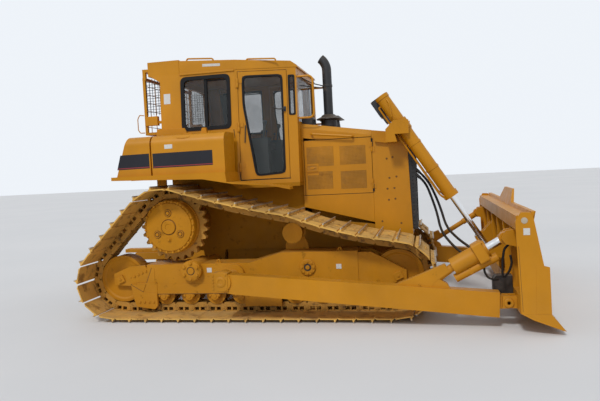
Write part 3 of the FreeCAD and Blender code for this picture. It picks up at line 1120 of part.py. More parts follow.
def save_all():
    total = 0
    for sign, side in ((1.0, "right"), (-1.0, "left")):
        total += save("track_" + side, make_track(sign))
    total += save("track_frames", both(make_track_frame()))
    wheels = [make_idler(REAR_IDLER_X, -TRACK_CENTRE), make_idler(FRONT_IDLER_X, -TRACK_CENTRE)]
    step = (ROLLER_LAST_X - ROLLER_FIRST_X) / (ROLLER_COUNT - 1)
    for i in range(ROLLER_COUNT):
        wheels.append(make_roller(ROLLER_FIRST_X + step * i, ROLLER_Z, ROLLER_R, -TRACK_CENTRE))
    wheels.append(make_roller(CARRIER_X, CARRIER_Z, CARRIER_R, -TRACK_CENTRE))
    right = Part.makeCompound(wheels)
    total += save("idlers_and_rollers", Part.makeCompound([right, mirrored(right)]))
    total += save("sprockets", both(make_sprocket(-TRACK_CENTRE)))
    total += save("final_drives", both(make_final_drive(-TRACK_CENTRE)))
    total += save("rear_case", make_rear_case())
    total += save("main_frame", make_main_frame())
    total += save("belly_guard", make_belly_guard())
    total += save("drawbar", make_drawbar())
    shaft = cross_rod(PIVOT_X, PIVOT_Z, PIVOT_R, -TRACK_CENTRE - FRAME_HALF - 40.0, TRACK_CENTRE + FRAME_HALF + 40.0)
    total += save("pivot_shaft", shaft)
    total += save("equalizer_bar", box(EQUALIZER_X - 55.0, EQUALIZER_X + 55.0, -TRACK_CENTRE + FRAME_HALF,
                                       TRACK_CENTRE - FRAME_HALF, EQUALIZER_Z - 45.0, EQUALIZER_Z + 45.0))
    total += save("engine_block", box(1560.0, 2330.0, -320.0, 320.0, ENGINE_LOW_Z, 1900.0))
    total += save("radiator_core", box(2600.0, 2700.0, -GUARD_HALF + 40.0, GUARD_HALF - 40.0, 830.0, 1990.0))
    total += save("hood", make_hood())
    door = make_engine_door()
    total += save("engine_door_right", door)
    total += save("engine_door_left", mirrored(door))
    total += save("radiator_guard", make_radiator_guard())
    total += save("radiator_grille", make_grille())
    total += save("exhaust_stack", make_stack())
    total += save("intake_covers", make_intake_covers())
    total += save("handrails", Part.makeCompound([both(make_hood_rail()), both(make_cab_rail())]))
    for name in HOSE_ROUTES:
        near, far = make_hose(name)
        total += save("tilt_hose_%s_tractor" % name, near)
        total += save("tilt_hose_%s_blade" % name, far)
    total += save("valve_block", make_valve_block())
    total += save("seat_base", box(SEAT_X + 40.0, SEAT_X + 440.0, -220.0, 220.0, CAB_FLOOR_Z, 1985.0))
    total += save("seat_cushions", make_seat_cushions())
    total += save("cab_controls", Part.makeCompound([make_consoles(), make_dash()]))
    total += save("push_arms", both(make_push_arm()))
    tilt, ear = make_tilt_cylinder()
    total += save("blade", fused([make_blade(), ear, mirrored(ear)]))
    total += save("cutting_edge", make_cutting_edge())
    total += save("tilt_cylinder", tilt)
    total += save("tilt_brace", make_brace())
    for y, side in ((-CYL_Y, "right"), (CYL_Y, "left")):
        total += save("lift_barrel_" + side, make_lift_barrel(y))
        total += save("lift_rod_" + side, make_lift_rod(y))
    total += save("lift_supports", both(make_lift_support()))
    total += save("fenders", both(make_fender()))
    total += save("fuel_tank", make_tank(1.0))
    total += save("hydraulic_tank", make_tank(-1.0))
    total += save("cab_floor", make_cab_floor())
    total += save("cab_sides", both(make_cab_side()))
    total += save("cab_rear_wall", make_cab_rear_wall())
    total += save("cab_front_wall", make_cab_front_wall())
    total += save("cab_glass", make_cab_glass())
    total += save("cab_roof", make_roof())
    total += save("rops_frame", make_rops())
    total += save("rear_screen", make_rear_screen())
    for mirror_it, name in ((False, "right"), (True, "left")):
        door, pane = make_cab_door(), make_door_glass()
        if mirror_it:
            door, pane = mirrored(door), mirrored(pane)
        total += save("cab_door_" + name, door)
        total += save("door_glass_" + name, pane)
    print("shoes %d, path %.1f, pitch %.2f" % (SHOE_COUNT, PATH_LENGTH, PATH_LENGTH / SHOE_COUNT))
    print("origin at x %.1f" % FLOOR_MIDDLE_X)
    print("facets in all %d" % total)


save_all()
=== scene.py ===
import math

import bmesh
import bpy
from bpy.props import FloatProperty, FloatVectorProperty, IntProperty, PointerProperty
from bpy.types import Operator, Panel, PropertyGroup
from mathutils import Matrix, Vector


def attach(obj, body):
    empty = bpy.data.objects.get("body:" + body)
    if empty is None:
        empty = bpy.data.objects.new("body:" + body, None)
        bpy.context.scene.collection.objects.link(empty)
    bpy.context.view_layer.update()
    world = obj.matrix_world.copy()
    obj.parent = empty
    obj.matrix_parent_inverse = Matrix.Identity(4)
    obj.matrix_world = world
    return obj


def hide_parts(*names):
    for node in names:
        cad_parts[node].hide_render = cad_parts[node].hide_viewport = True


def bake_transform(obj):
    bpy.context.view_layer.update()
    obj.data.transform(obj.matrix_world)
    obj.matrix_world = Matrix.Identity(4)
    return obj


bl_info = {
    "name": "Crawler Bulldozer",
    "version": (1, 0, 0),
    "blender": (4, 5, 0),
    "location": "3D View > Sidebar > Bulldozer",
    "description": "Dresses the packed bulldozer with its tracks, trim and finishes",
    "category": "Object",
}

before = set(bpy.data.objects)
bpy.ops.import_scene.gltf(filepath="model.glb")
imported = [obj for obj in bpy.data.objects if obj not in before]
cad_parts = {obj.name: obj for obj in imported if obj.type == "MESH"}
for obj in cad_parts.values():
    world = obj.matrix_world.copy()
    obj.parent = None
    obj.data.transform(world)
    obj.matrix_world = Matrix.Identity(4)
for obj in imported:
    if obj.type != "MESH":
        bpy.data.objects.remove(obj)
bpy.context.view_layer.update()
RIGHT, LEFT = -1.0, 1.0

# Places below are millimetres from the sprocket axle (x), the middle (y) and the floor (z).
AXLE_BEHIND_MIDDLE = 1511.5
TRACK_CENTRE = 1080.0
SPROCKET_Z = 1090.0
CAB_FLOOR_Z = 1545.0
CAB_BEND_X = 770.0
CAB_FRONT_X = 1500.0
REAR_IDLER_X = -685.0
FRONT_IDLER_X = 2675.0
IDLER_Z = 465.0
CASE_HALF = 470.0


def place(x, y, z):
    """Millimetres from the sprocket axle to metres in the frame."""
    return Vector(((x - AXLE_BEHIND_MIDDLE) / 1000.0, y / 1000.0, z / 1000.0))


# Mesh building

class Form:
    """Closed shells of one piece, in the machine's millimetres."""

    def __init__(self):
        self.points = []
        self.faces = []

    def shell(self, points, faces):
        start = len(self.points)
        self.points += [Vector(p) for p in points]
        self.faces += [tuple(start + i for i in face) for face in faces]
        return self

    def loft(self, loops, closed=False):
        """Skin over loops of equal length, capped at both ends unless they close on themselves."""
        count = len(loops[0])
        points = [p for loop in loops for p in loop]
        faces = []
        for k in range(len(loops) if closed else len(loops) - 1):
            a, b = k * count, ((k + 1) % len(loops)) * count
            faces += [(a + i, a + (i + 1) % count, b + (i + 1) % count, b + i) for i in range(count)]
        if not closed:
            faces += [tuple(reversed(range(count))), tuple(range((len(loops) - 1) * count, len(points)))]
        return self.shell(points, faces)

    def block(self, x0, x1, y0, y1, z0, z1):
        low = [(x0, y0, z0), (x1, y0, z0), (x1, y1, z0), (x0, y1, z0)]
        return self.loft([low, [(x, y, z1) for x, y, _ in low]])

    def side_plate(self, outline, y0, y1):
        """Plate of an outline in x and z, between two y."""
        return self.loft([[(x, y0, z) for x, z in outline], [(x, y1, z) for x, z in outline]])

    def turned(self, centre, axis, profile, sides=48):
        """Turned form: (radius, distance along the axis) from one pole to the other."""
        turn = Vector(axis).to_track_quat("Z", "Y")
        angles = [2.0 * math.pi * i / sides for i in range(sides)]
        return self.loft([[Vector(centre) + turn @ Vector((max(r, 0.01) * math.cos(t), max(r, 0.01) * math.sin(t), d))
                           for t in angles] for r, d in profile])

    def boss(self, x, y, z, profile, sides):
        """Turned form that points out of the machine's right side."""
        return self.turned((x, y, z), (0, -1, 0), profile, sides)

    def rod(self, a, b, radius, sides=20):
        way = Vector(b) - Vector(a)
        return self.turned(a, way, [(radius, 0), (radius, way.length)], sides)

    def pipe(self, points, radius, sides=12):
        """Pipe along straight runs with rounded corners."""
        return self.sweep(rounded_path([Vector(p) for p in points], radius * 2.5), radius, sides)

    def sweep(self, path, radius, sides=12):
        loops = []
        normal = None
        for i, p in enumerate(path):
            way = (path[min(i + 1, len(path) - 1)] - path[max(i - 1, 0)]).normalized()
            if normal is None:
                normal = way.orthogonal().normalized()
            normal = (normal - way * normal.dot(way)).normalized()
            side = way.cross(normal)
            loops.append([p + (normal * math.cos(t) + side * math.sin(t)) * radius
                          for t in (2.0 * math.pi * k / sides for k in range(sides))])
        return self.loft(loops)

    def mirrored(self):
        other = Form()
        other.points = [Vector((p.x, -p.y, p.z)) for p in self.points]
        other.faces = [tuple(reversed(face)) for face in self.faces]
        return other

    def both(self):
        """Adds the mirror image on the other side of the machine."""
        other = self.mirrored()
        return self.shell(other.points, other.faces)


def rectangle(x0, x1, z0, z1):
    return [(x0, z0), (x1, z0), (x1, z1), (x0, z1)]


def corner_arc(before, corner, after, radius, steps):
    """Points of the short arc that rounds one corner."""
    into, out = corner - before, after - corner
    cut = min(radius, into.length * 0.49, out.length * 0.49)
    a, b = corner - into.normalized() * cut, corner + out.normalized() * cut
    return [a.lerp(corner, t).lerp(corner.lerp(b, t), t) for t in (k / steps for k in range(steps + 1))]


def rounded_path(points, bend):
    """Open path with its corners rounded."""
    path = points[:1]
    for before, corner, after in zip(points, points[1:], points[2:]):
        path += corner_arc(before, corner, after, bend, 4)
    return path + points[-1:]


def rounded_outline(corners, radius, steps=5):
    """Outline in two directions with its corners rounded."""
    corners = [Vector(p) for p in corners]
    outline = []
    for i, corner in enumerate(corners):
        outline += corner_arc(corners[i - 1], corner, corners[(i + 1) % len(corners)], radius, steps)
    return [(p.x, p.y) for p in outline]


def grown_outline(corners, distance):
    """Outline whose edges are moved outwards."""
    count = len(corners)
    area = sum(corners[i - 1][0] * corners[i][1] - corners[i][0] * corners[i - 1][1] for i in range(count))
    side = 1.0 if area > 0.0 else -1.0
    result = []
    for i in range(count):
        p = Vector(corners[i])
        a, b = (p - Vector(corners[i - 1])).normalized(), (Vector(corners[(i + 1) % count]) - p).normalized()
        na, nb = Vector((a.y, -a.x)) * side, Vector((b.y, -b.x)) * side
        middle = (na + nb).normalized()
        result.append(p + middle * (distance / max(0.3, middle.dot(na))))
    return [(p.x, p.y) for p in result]


def cab_half(x, z):
    """Half width of the cab's skin."""
    lean = (z - CAB_FLOOR_Z) * 0.055
    if x <= CAB_BEND_X:
        return 880.0 - lean
    return 880.0 - 180.0 * (x - CAB_BEND_X) / (CAB_FRONT_X - CAB_BEND_X) - lean


def on_cab(outline, out):
    """Outline on the right skin of the cab, moved outwards."""
    return [(x, -cab_half(x, z) - out, z) for x, z in outline]


def off_cab(x, skin_z, out, z):
    """Point off the right skin of the cab, by the skin at its own height."""
    return (x, -cab_half(x, skin_z) - out, z)


def frame_on_cab(form, outer, inner, low, high):
    """Closed frame between two outlines of equal length on the cab's skin."""
    rings = [on_cab(outer, low), on_cab(outer, high), on_cab(inner, high), on_cab(inner, low)]
    return form.loft(list(zip(*rings)), closed=True)


def slab_on_cab(form, outline, low, high):
    return form.loft([on_cab(outline, low), on_cab(outline, high)])


def finish_piece(obj, body="tractor", replaces=()):
    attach(obj, body)
    if replaces:
        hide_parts(*replaces)
    return obj


def plain_mesh(obj):
    """The object's evaluated shape as a plain mesh, without its modifiers."""
    graph = bpy.context.evaluated_depsgraph_get()
    graph.update()
    mesh = bpy.data.meshes.new_from_object(obj.evaluated_get(graph), depsgraph=graph)
    obj.modifiers.clear()
    obj.data = mesh
    mesh.name = obj.name
    return mesh


def bevel_edges(obj, width, angle):
    bevel = obj.modifiers.new("Broken edges", "BEVEL")
    bevel.width, bevel.segments, bevel.limit_method = width, 2, "ANGLE"
    bevel.angle_limit = math.radians(angle)
    bevel.harden_normals = True


def mesh_object(name, form, finish=None, edge=0, smooth=35):
    """Object of a form, its edges broken by a small bevel."""
    mesh = bpy.data.meshes.new(name)
    mesh.from_pydata([place(*p) for p in form.points], [], form.faces)
    work = bmesh.new()
    work.from_mesh(mesh)
    bmesh.ops.remove_doubles(work, verts=work.verts, dist=1e-6)
    bmesh.ops.recalc_face_normals(work, faces=work.faces)
    work.to_mesh(mesh)
    work.free()
    mesh.polygons.foreach_set("use_smooth", [True] * len(mesh.polygons))
    mesh.set_sharp_from_angle(angle=math.radians(smooth))
    mesh.materials.append(FINISHES.get(finish))
    obj = bpy.data.objects.new(name, mesh)
    bpy.context.scene.collection.objects.link(obj)
    if edge:
        bevel_edges(obj, edge / 1000, smooth)
        plain_mesh(obj)
    return obj


def piece(name, form, finish, body="tractor", replaces=(), edge=0, smooth=35):
    return finish_piece(mesh_object(name, form, finish, edge, smooth), body, replaces)


def repeat_tree():
    """Geometry Nodes tree: the unit piece on every place, turned and sized by the place's attributes."""
    found = bpy.data.node_groups.get("Repeat on places")
    if found:
        return found
    tree = bpy.data.node_groups.new("Repeat on places", "GeometryNodeTree")
    for title, way, kind in (("Places", "INPUT", "Geometry"), ("Unit", "INPUT", "Object"),
                             ("Finish", "INPUT", "Material"), ("Geometry", "OUTPUT", "Geometry")):
        tree.interface.new_socket(title, in_out=way, socket_type="NodeSocket" + kind)
    start, end, unit, spread, turn, scale, to_turn, real, paint = (tree.nodes.new(kind) for kind in (
        "NodeGroupInput", "NodeGroupOutput", "GeometryNodeObjectInfo", "GeometryNodeInstanceOnPoints",
        "GeometryNodeInputNamedAttribute", "GeometryNodeInputNamedAttribute", "FunctionNodeEulerToRotation",
        "GeometryNodeRealizeInstances", "GeometryNodeSetMaterial"))
    turn.data_type = scale.data_type = "FLOAT_VECTOR"
    turn.inputs[0].default_value, scale.inputs[0].default_value = "turn", "stretch"
    for a, out, b, into in ((start, "Unit", unit, "Object"), (start, "Places", spread, "Points"),
                            (unit, "Geometry", spread, "Instance"), (turn, "Attribute", to_turn, "Euler"),
                            (to_turn, "Rotation", spread, "Rotation"), (scale, "Attribute", spread, "Scale"),
                            (spread, "Instances", real, "Geometry"), (real, "Geometry", paint, "Geometry"),
                            (start, "Finish", paint, "Material"), (paint, "Geometry", end, "Geometry")):
        tree.links.new(a.outputs[out], b.inputs[into])
    return tree


def repeated(name, form, places, finish, body="tractor", replaces=(), smooth=35):
    """Form at many places, each a point in millimetres, a turn and a stretch."""
    unit = mesh_object("unit", form, smooth=smooth)
    unit.data.transform(Matrix.Translation(-place(0, 0, 0)))
    mesh = bpy.data.meshes.new(name)
    mesh.from_pydata([place(*p[0]) for p in places], [], [])
    turn = mesh.attributes.new("turn", "FLOAT_VECTOR", "POINT")
    stretch = mesh.attributes.new("stretch", "FLOAT_VECTOR", "POINT")
    for i, p in enumerate(places):
        turn.data[i].vector = p[1]
        stretch.data[i].vector = p[2] if len(p) > 2 else (1, 1, 1)
    obj = bpy.data.objects.new(name, mesh)
    bpy.context.scene.collection.objects.link(obj)
    modifier = obj.modifiers.new("Repeat", "NODES")
    modifier.node_group = repeat_tree()
    socket = {item.name: item.identifier for item in modifier.node_group.interface.items_tree}
    modifier[socket["Unit"]] = unit
    modifier[socket["Finish"]] = FINISHES[finish]
    bpy.context.view_layer.update()
    plain_mesh(obj)
    for title in ("turn", "stretch"):
        if title in obj.data.attributes:
            obj.data.attributes.remove(obj.data.attributes[title])
    bpy.data.objects.remove(unit)
    return finish_piece(obj, body, replaces)


def outward(side):
    """Turn that points a bolt's head out to one side of the machine."""
    return (math.radians(90.0) * -side, 0.0, 0.0)


def hex_bolt(height):
    """Hexagon head on a washer, its radius one, standing on z = 0."""
    form = Form()
    form.turned((0, 0, 0), (0, 0, 1), [(0, -0.05), (1.25, -0.05), (1.25, 0.12), (0, 0.12)], 16)
    form.turned((0, 0, 0), (0, 0, 1), [(0, 0.1), (1, 0.1), (1, height), (0.86, height + 0.12), (0, height + 0.14)], 6)
    return form


def bolts(name, places, radius, finish, body="tractor", height=0.7):
    """Bolt heads of one radius in millimetres at places with turns."""
    return repeated(name, hex_bolt(height), [(p, turn, (radius,) * 3) for p, turn in places], finish, body)


def side_bolts(name, spots, radius, finish, body="tractor", height=0.7):
    """Bolt heads at spots on the right side, and the same on the left."""
    places = [((x, s * y, z), outward(-s)) for x, y, z in spots for s in (1, -1)]
    return bolts(name, places, radius, finish, body, height)


def ring_spots(x, y, z, radius, count, start=0.0):
    """Spots round a centre on a side face."""
    angles = [start + 2.0 * math.pi * i / count for i in range(count)]
    return [(x + radius * math.cos(a), y, z + radius * math.sin(a)) for a in angles]


# Finishes

class Nodes:
    """Shader nodes of one material."""

    def __init__(self, name):
        self.material = bpy.data.materials.new(name)
        self.material.use_nodes = True
        self.tree = self.material.node_tree
        self.coords = self.node("TexCoord", {}, "Object")

    def put(self, socket, value):
        if isinstance(value, bpy.types.NodeSocket):
            self.tree.links.new(value, socket)
        else:
            socket.default_value = (*value[:3], 1.0) if socket.type == "RGBA" else value

    def node(self, kind, inputs, output=0, **settings):
        """Output of a new node whose inputs are given values or other outputs."""
        node = self.tree.nodes.new("ShaderNode" + kind)
        for key, value in settings.items():
            setattr(node, key, value)
        for key, value in inputs.items():
            self.put(node.inputs[key], value)
        return node.outputs[output]

    def noise(self, scale, detail=4, stretch=(1, 1, 1), rough=0.55):
        moved = self.node("Mapping", {"Vector": self.coords, "Scale": stretch})
        return self.node("TexNoise", {"Vector": moved, "Scale": scale, "Detail": detail, "Roughness": rough}, "Fac")

    def span(self, value, low, high, to_low=0.0, to_high=1.0):
        return self.node("MapRange", {"Value": value, "From Min": low, "From Max": high, "To Min": to_low,
                                      "To Max": to_high}, "Result")

    def maths(self, operation, a, b):
        return self.node("Math", {0: a, 1: b}, operation=operation)

    def times(self, a, b):
        return self.maths("MULTIPLY", a, b)

    def mix(self, share, a, b):
        return self.node("Mix", {0: share, 6: a, 7: b}, 2, data_type="RGBA")

    def bump(self, height, strength, distance, **inputs):
        return self.node("Bump", {"Height": height, "Strength": strength, "Distance": distance, **inputs}, "Normal")

    def dress(self, looks):
        """Puts values and outputs on the shader and gives the material."""
        for key, value in looks.items():
            self.put(self.tree.nodes["Principled BSDF"].inputs[key], value)
        return self.material


def shade(colour, factor):
    return tuple(min(1.0, c * factor) for c in colour[:3])


def worn_finish(name, colour, rough, dust_colour, metal=0, cloud=0.14, dust=None, wear=None, wear_share=0.5,
                wear_scale=9, bump=0.15, grain=220, coat=0, dent=0, shine=0.5):
    """Paint, metal or rubber with clouded colour, dust from above and near the ground, worn spots and fine grain."""
    n = Nodes(name)
    clouds = n.span(n.noise(1.7, 5), 0.3, 0.7)
    streaks = n.span(n.noise(6, 6, (1, 1, 0.25)), 0.35, 0.7)
    tone = n.mix(clouds, shade(colour, 1 - cloud), shade(colour, 1 + cloud * 0.5))
    tone = n.mix(n.times(streaks, cloud * 0.8), tone, shade(colour, 0.55))
    roughness = n.span(n.noise(14, 5), 0.3, 0.7, rough - 0.06, rough + 0.1)
    if dust is not None:
        upward = n.node("SeparateXYZ", {0: n.node("NewGeometry", {}, "Normal")}, "Z")
        height = n.node("SeparateXYZ", {0: n.coords}, "Z")
        above = n.times(n.span(upward, 0.15, 0.95), dust[0])
        low = n.times(n.span(height, 0.1, 1.3, 1, 0), dust[1])
        patchy = n.span(n.noise(5, 7, rough=0.65), 0.34, 0.68)
        share = n.times(n.maths("ADD", above, low), n.maths("ADD", n.times(patchy, 0.8), 0.2))
        share = n.maths("MINIMUM", share, 0.92)
        tone = n.mix(share, tone, dust_colour)
        roughness = n.maths("ADD", roughness, n.times(share, 0.35))
    if wear is not None:
        spots = n.span(n.noise(wear_scale, 9, rough=0.7), 0.62 - 0.2 * wear_share, 0.68 - 0.1 * wear_share)
        tone = n.mix(n.times(spots, 0.85), tone, wear)
    dents = {"Normal": n.bump(n.noise(4.5, 2), dent, 0.02)} if dent else {}
    looks = {"Base Color": tone, "Roughness": n.maths("MINIMUM", roughness, 0.97), "Metallic": metal,
             "Specular IOR Level": shine, "Normal": n.bump(n.noise(grain, 3), bump, 0.002, **dents)}
    if coat:
        looks.update({"Coat Weight": coat, "Coat Roughness": 0.18})
    return n.dress(looks)


def glass_finish(name, colour, alpha):
    n = Nodes(name)
    return n.dress({"Roughness": n.span(n.noise(7, 5), 0.35, 0.75, 0.02, 0.07),
                    "Alpha": n.span(n.noise(3, 6), 0.3, 0.75, alpha - 0.05, alpha + 0.1),
                    "Base Color": n.mix(n.span(n.noise(2), 0.3, 0.7), shade(colour, 0.8), shade(colour, 1.3)),
                    "Specular IOR Level": 0.9})


def cloth_finish(name, colour):
    n = Nodes(name)
    weave = n.node("TexWave", {"Vector": n.coords, "Scale": 130, "Distortion": 1.5}, "Fac")
    tone = n.mix(weave, shade(colour, 0.6), shade(colour, 1.3))
    tone = n.mix(n.span(n.noise(9, 6), 0.5, 0.8, 0, 0.4), tone, (0.2, 0.18, 0.15))
    return n.dress({"Base Color": tone, "Roughness": 0.9, "Sheen Weight": 0.3, "Normal": n.bump(weave, 0.35, 0.001)})


FINISHES = {}


def colour_setting(title, about, value):
    return FloatVectorProperty(name=title, description=about, subtype="COLOR", size=3, min=0.0, max=1.0, default=value)


class DozerColours(PropertyGroup):
    """Colours of the bulldozer's finishes."""
    paint: colour_setting("Body paint", "Yellow paint of the body, frames and blade", (0.53, 0.218, 0.003))
    dust: colour_setting("Dust", "Dry earth that settles on level faces and near the ground", (0.42, 0.27, 0.12))
    shoe: colour_setting("Track shoe", "Worn painted steel of the shoes and links", (0.74, 0.42, 0.09))
    bare: colour_setting("Bare steel", "Steel where the paint is rubbed off", (0.55, 0.47, 0.36))
    mesh: colour_setting("Door mesh", "Rusty mesh in the engine doors' fields", (0.52, 0.225, 0.012))
    black: colour_setting("Black parts", "Satin black of the stack, grille and covers", (0.018, 0.018, 0.02))
    rubber: colour_setting("Rubber", "Window seals and hoses", (0.014, 0.014, 0.015))
    stripe_line: colour_setting("Stripe line", "Thin line along the tanks' stripes", (0.30, 0.03, 0.03))
    glass: colour_setting("Glass", "Tint of the cab's windows", (0.02, 0.03, 0.03))
    cloth: colour_setting("Seat cloth", "Woven cover of the seat", (0.05, 0.05, 0.055))
    plate: colour_setting("Blank plates", "Small bare plates and stickers without text", (0.62, 0.61, 0.58))


class DozerSizes(PropertyGroup):
    """Sizes of the repeated trim."""
    shoe_width: FloatProperty(name="Shoe width", description="Width of one track shoe across the machine",
                              default=0.915, min=0.4, max=1.0, unit="LENGTH")
    wire_pitch: FloatProperty(name="Mesh pitch", description="Distance between the wires of the engine doors' mesh",
                              default=0.016, min=0.008, max=0.05, unit="LENGTH")
    seal_width: FloatProperty(name="Window seal", description="Width of the rubber seal round the side window",
                              default=0.046, min=0.01, max=0.08, unit="LENGTH")
    hub_bolts: IntProperty(name="Hub bolts", description="Bolts round each final drive's cover", default=24, min=6,
                           max=40)


def make_finishes(colours):
    """All finishes by name, from the colour settings."""
    c = {key: tuple(getattr(colours, key)) for key in DozerColours.__annotations__}

    def worn(name, colour, rough, **looks):
        FINISHES[name] = worn_finish(name, c.get(colour, colour), rough, c["dust"], **looks)

    worn("body_yellow", "paint", 0.42, dust=(0.14, 0.08), shine=0.25, bump=0.05, dent=0.05)
    worn("panel_yellow", shade(c["paint"], 1.04), 0.38, dust=(0.1, 0.04), coat=0.05, shine=0.3, bump=0.03, dent=0.04)
    worn("frame_yellow", shade(c["paint"], 0.97), 0.5, dust=(0.3, 0.1), cloud=0.16, bump=0.1, dent=0.06,
         wear=shade(c["paint"], 0.5), wear_share=0.08, shine=0.22)
    # Body paint darkened as painted shade for the parts under and inside the machine, with heavy dust and worn spots.
    worn("under_brown", shade(c["paint"], 0.85), 0.7, dust=(0.5, 0.3), cloud=0.25, bump=0.2,
         wear=shade(c["paint"], 0.45), wear_share=0.2, shine=0.2)
    worn("shoe_steel", "shoe", 0.62, metal=0.05, dust=(0.5, 0.25), cloud=0.3, bump=0.35, dent=0.1,
         wear=(0.26, 0.13, 0.035), wear_scale=6, grain=120, shine=0.3)
    worn("link_steel", (0.52, 0.26, 0.04), 0.6, metal=0.05, dust=(0.3, 0.15), cloud=0.3, bump=0.3,
         wear=(0.12, 0.06, 0.02), wear_share=0.45, shine=0.3)
    worn("bare_steel", "bare", 0.42, metal=0.55, cloud=0.3, bump=0.25, dust=(0.3, 0.3), wear=(0.2, 0.11, 0.05))
    worn("chrome", (0.78, 0.78, 0.78), 0.12, metal=1, cloud=0.05, bump=0.01, grain=400)
    worn("mesh_brown", "mesh", 0.7, cloud=0.35, bump=0.2, wear=(0.3, 0.14, 0.02), wear_share=0.4, wear_scale=5)
    # Back sheets behind the wires: the mesh colour darkened as painted shade seen through the mesh, with rust spots.
    worn("mesh_back", shade(c["mesh"], 0.8), 0.8, cloud=0.4, bump=0.3, wear=(0.22, 0.09, 0.01), wear_share=0.4,
         wear_scale=4)
    # Dark brown for weld seams, and also painted shade in the hub covers' recesses and on the guard's bolt marks.
    worn("seam_brown", (0.17, 0.07, 0.008), 0.7, cloud=0.2, bump=0.1)
    # Near-black brown used only as painted shade in the frame caps' grooves and recesses.
    worn("grease_dark", (0.05, 0.03, 0.012), 0.7, cloud=0.3, bump=0.2)
    worn("satin_black", "black", 0.45, cloud=0.3, dust=(0.22, 0.1), bump=0.08, wear=(0.06, 0.045, 0.035),
         wear_share=0.3)
    # Also used for the thin strips of painted shade in the doors' gaps.
    worn("rubber", "rubber", 0.6, cloud=0.2, dust=(0.12, 0.05), bump=0.1, shine=0.15)
    worn("stripe_black", (0.024, 0.024, 0.03), 0.35, cloud=0.2, bump=0.02, dust=(0, 0.03), shine=0.2)
    worn("stripe_red", "stripe_line", 0.4, cloud=0.15, bump=0.02)
    worn("blank_plate", "plate", 0.4, cloud=0.12, bump=0.04, wear=(0.4, 0.3, 0.15), wear_share=0.3, wear_scale=30)
    worn("cab_plastic", (0.12, 0.13, 0.125), 0.7, cloud=0.2, dust=(0.3, 0), bump=0.04, grain=500)
    worn("core_metal", (0.1, 0.1, 0.1), 0.6, metal=0.5, cloud=0.2, bump=0.3, grain=300)
    worn("lamp_glass", (0.55, 0.57, 0.56), 0.12, cloud=0.1, bump=0.3, grain=90)
    FINISHES["window_glass"] = glass_finish("window_glass", c["glass"], 0.27)
    FINISHES["seat_cloth"] = cloth_finish("seat_cloth", c["cloth"])


NODES_BY_FINISH = {
    "body_yellow": "blade cutting_edge fenders lift_barrel_left lift_barrel_right lift_supports push_arms rear_screen "
                   "tilt_cylinder",
    "panel_yellow": "cab_door_left cab_door_right cab_front_wall cab_rear_wall cab_roof cab_sides engine_door_left "
                    "engine_door_right fuel_tank handrails hood hydraulic_tank radiator_guard rops_frame",
    "frame_yellow": "drawbar final_drives idlers_and_rollers pivot_shaft tilt_brace track_frames",
    "under_brown": "belly_guard cab_floor engine_block equalizer_bar main_frame rear_case",
    "satin_black": "exhaust_stack intake_covers radiator_grille valve_block",
    "shoe_steel": "track_left track_right", "link_steel": "sprockets", "core_metal": "radiator_core",
    "chrome": "lift_rod_left lift_rod_right", "cab_plastic": "cab_controls seat_base", "seat_cloth": "seat_cushions",
    "window_glass": "cab_glass door_glass_left door_glass_right",
    "rubber": "tilt_hose_a_tractor tilt_hose_a_blade tilt_hose_b_tractor tilt_hose_b_blade",
}
NODE_FINISH = {node: finish for finish, nodes in NODES_BY_FINISH.items() for node in nodes.split()}
SHARP_NODES = ("blade", "push_arms", "rops_frame", "radiator_guard", "fenders", "cab_sides", "cab_roof", "hood",
               "engine_door_right", "engine_door_left", "cab_door_right", "cab_door_left", "track_frames",
               "lift_supports", "valve_block", "cutting_edge", "drawbar")


# The tracks' path

def outer_tangent(c0, r0, c1, r1):
    dx, dz = c1[0] - c0[0], c1[1] - c0[1]
    turn = math.atan2(dz, dx) + math.pi / 2.0 + math.asin((r1 - r0) / math.hypot(dx, dz))
    nx, nz = math.cos(turn), math.sin(turn)
    return (c0[0] + r0 * nx, c0[1] + r0 * nz), (c1[0] + r1 * nx, c1[1] + r1 * nz)


def arc_down(centre, radius, start, end):
    while end > start:
        end -= 2.0 * math.pi
    count = max(2, int(abs(end - start) * radius / 4.0))
    return [(centre[0] + radius * math.cos(start + (end - start) * i / count),
             centre[1] + radius * math.sin(start + (end - start) * i / count)) for i in range(count + 1)]


def hanging(a, b, sag, count=80):
    return [(a[0] + (b[0] - a[0]) * i / count,
             a[1] + (b[1] - a[1]) * i / count - 4.0 * sag * i / count * (1.0 - i / count)) for i in range(1, count)]


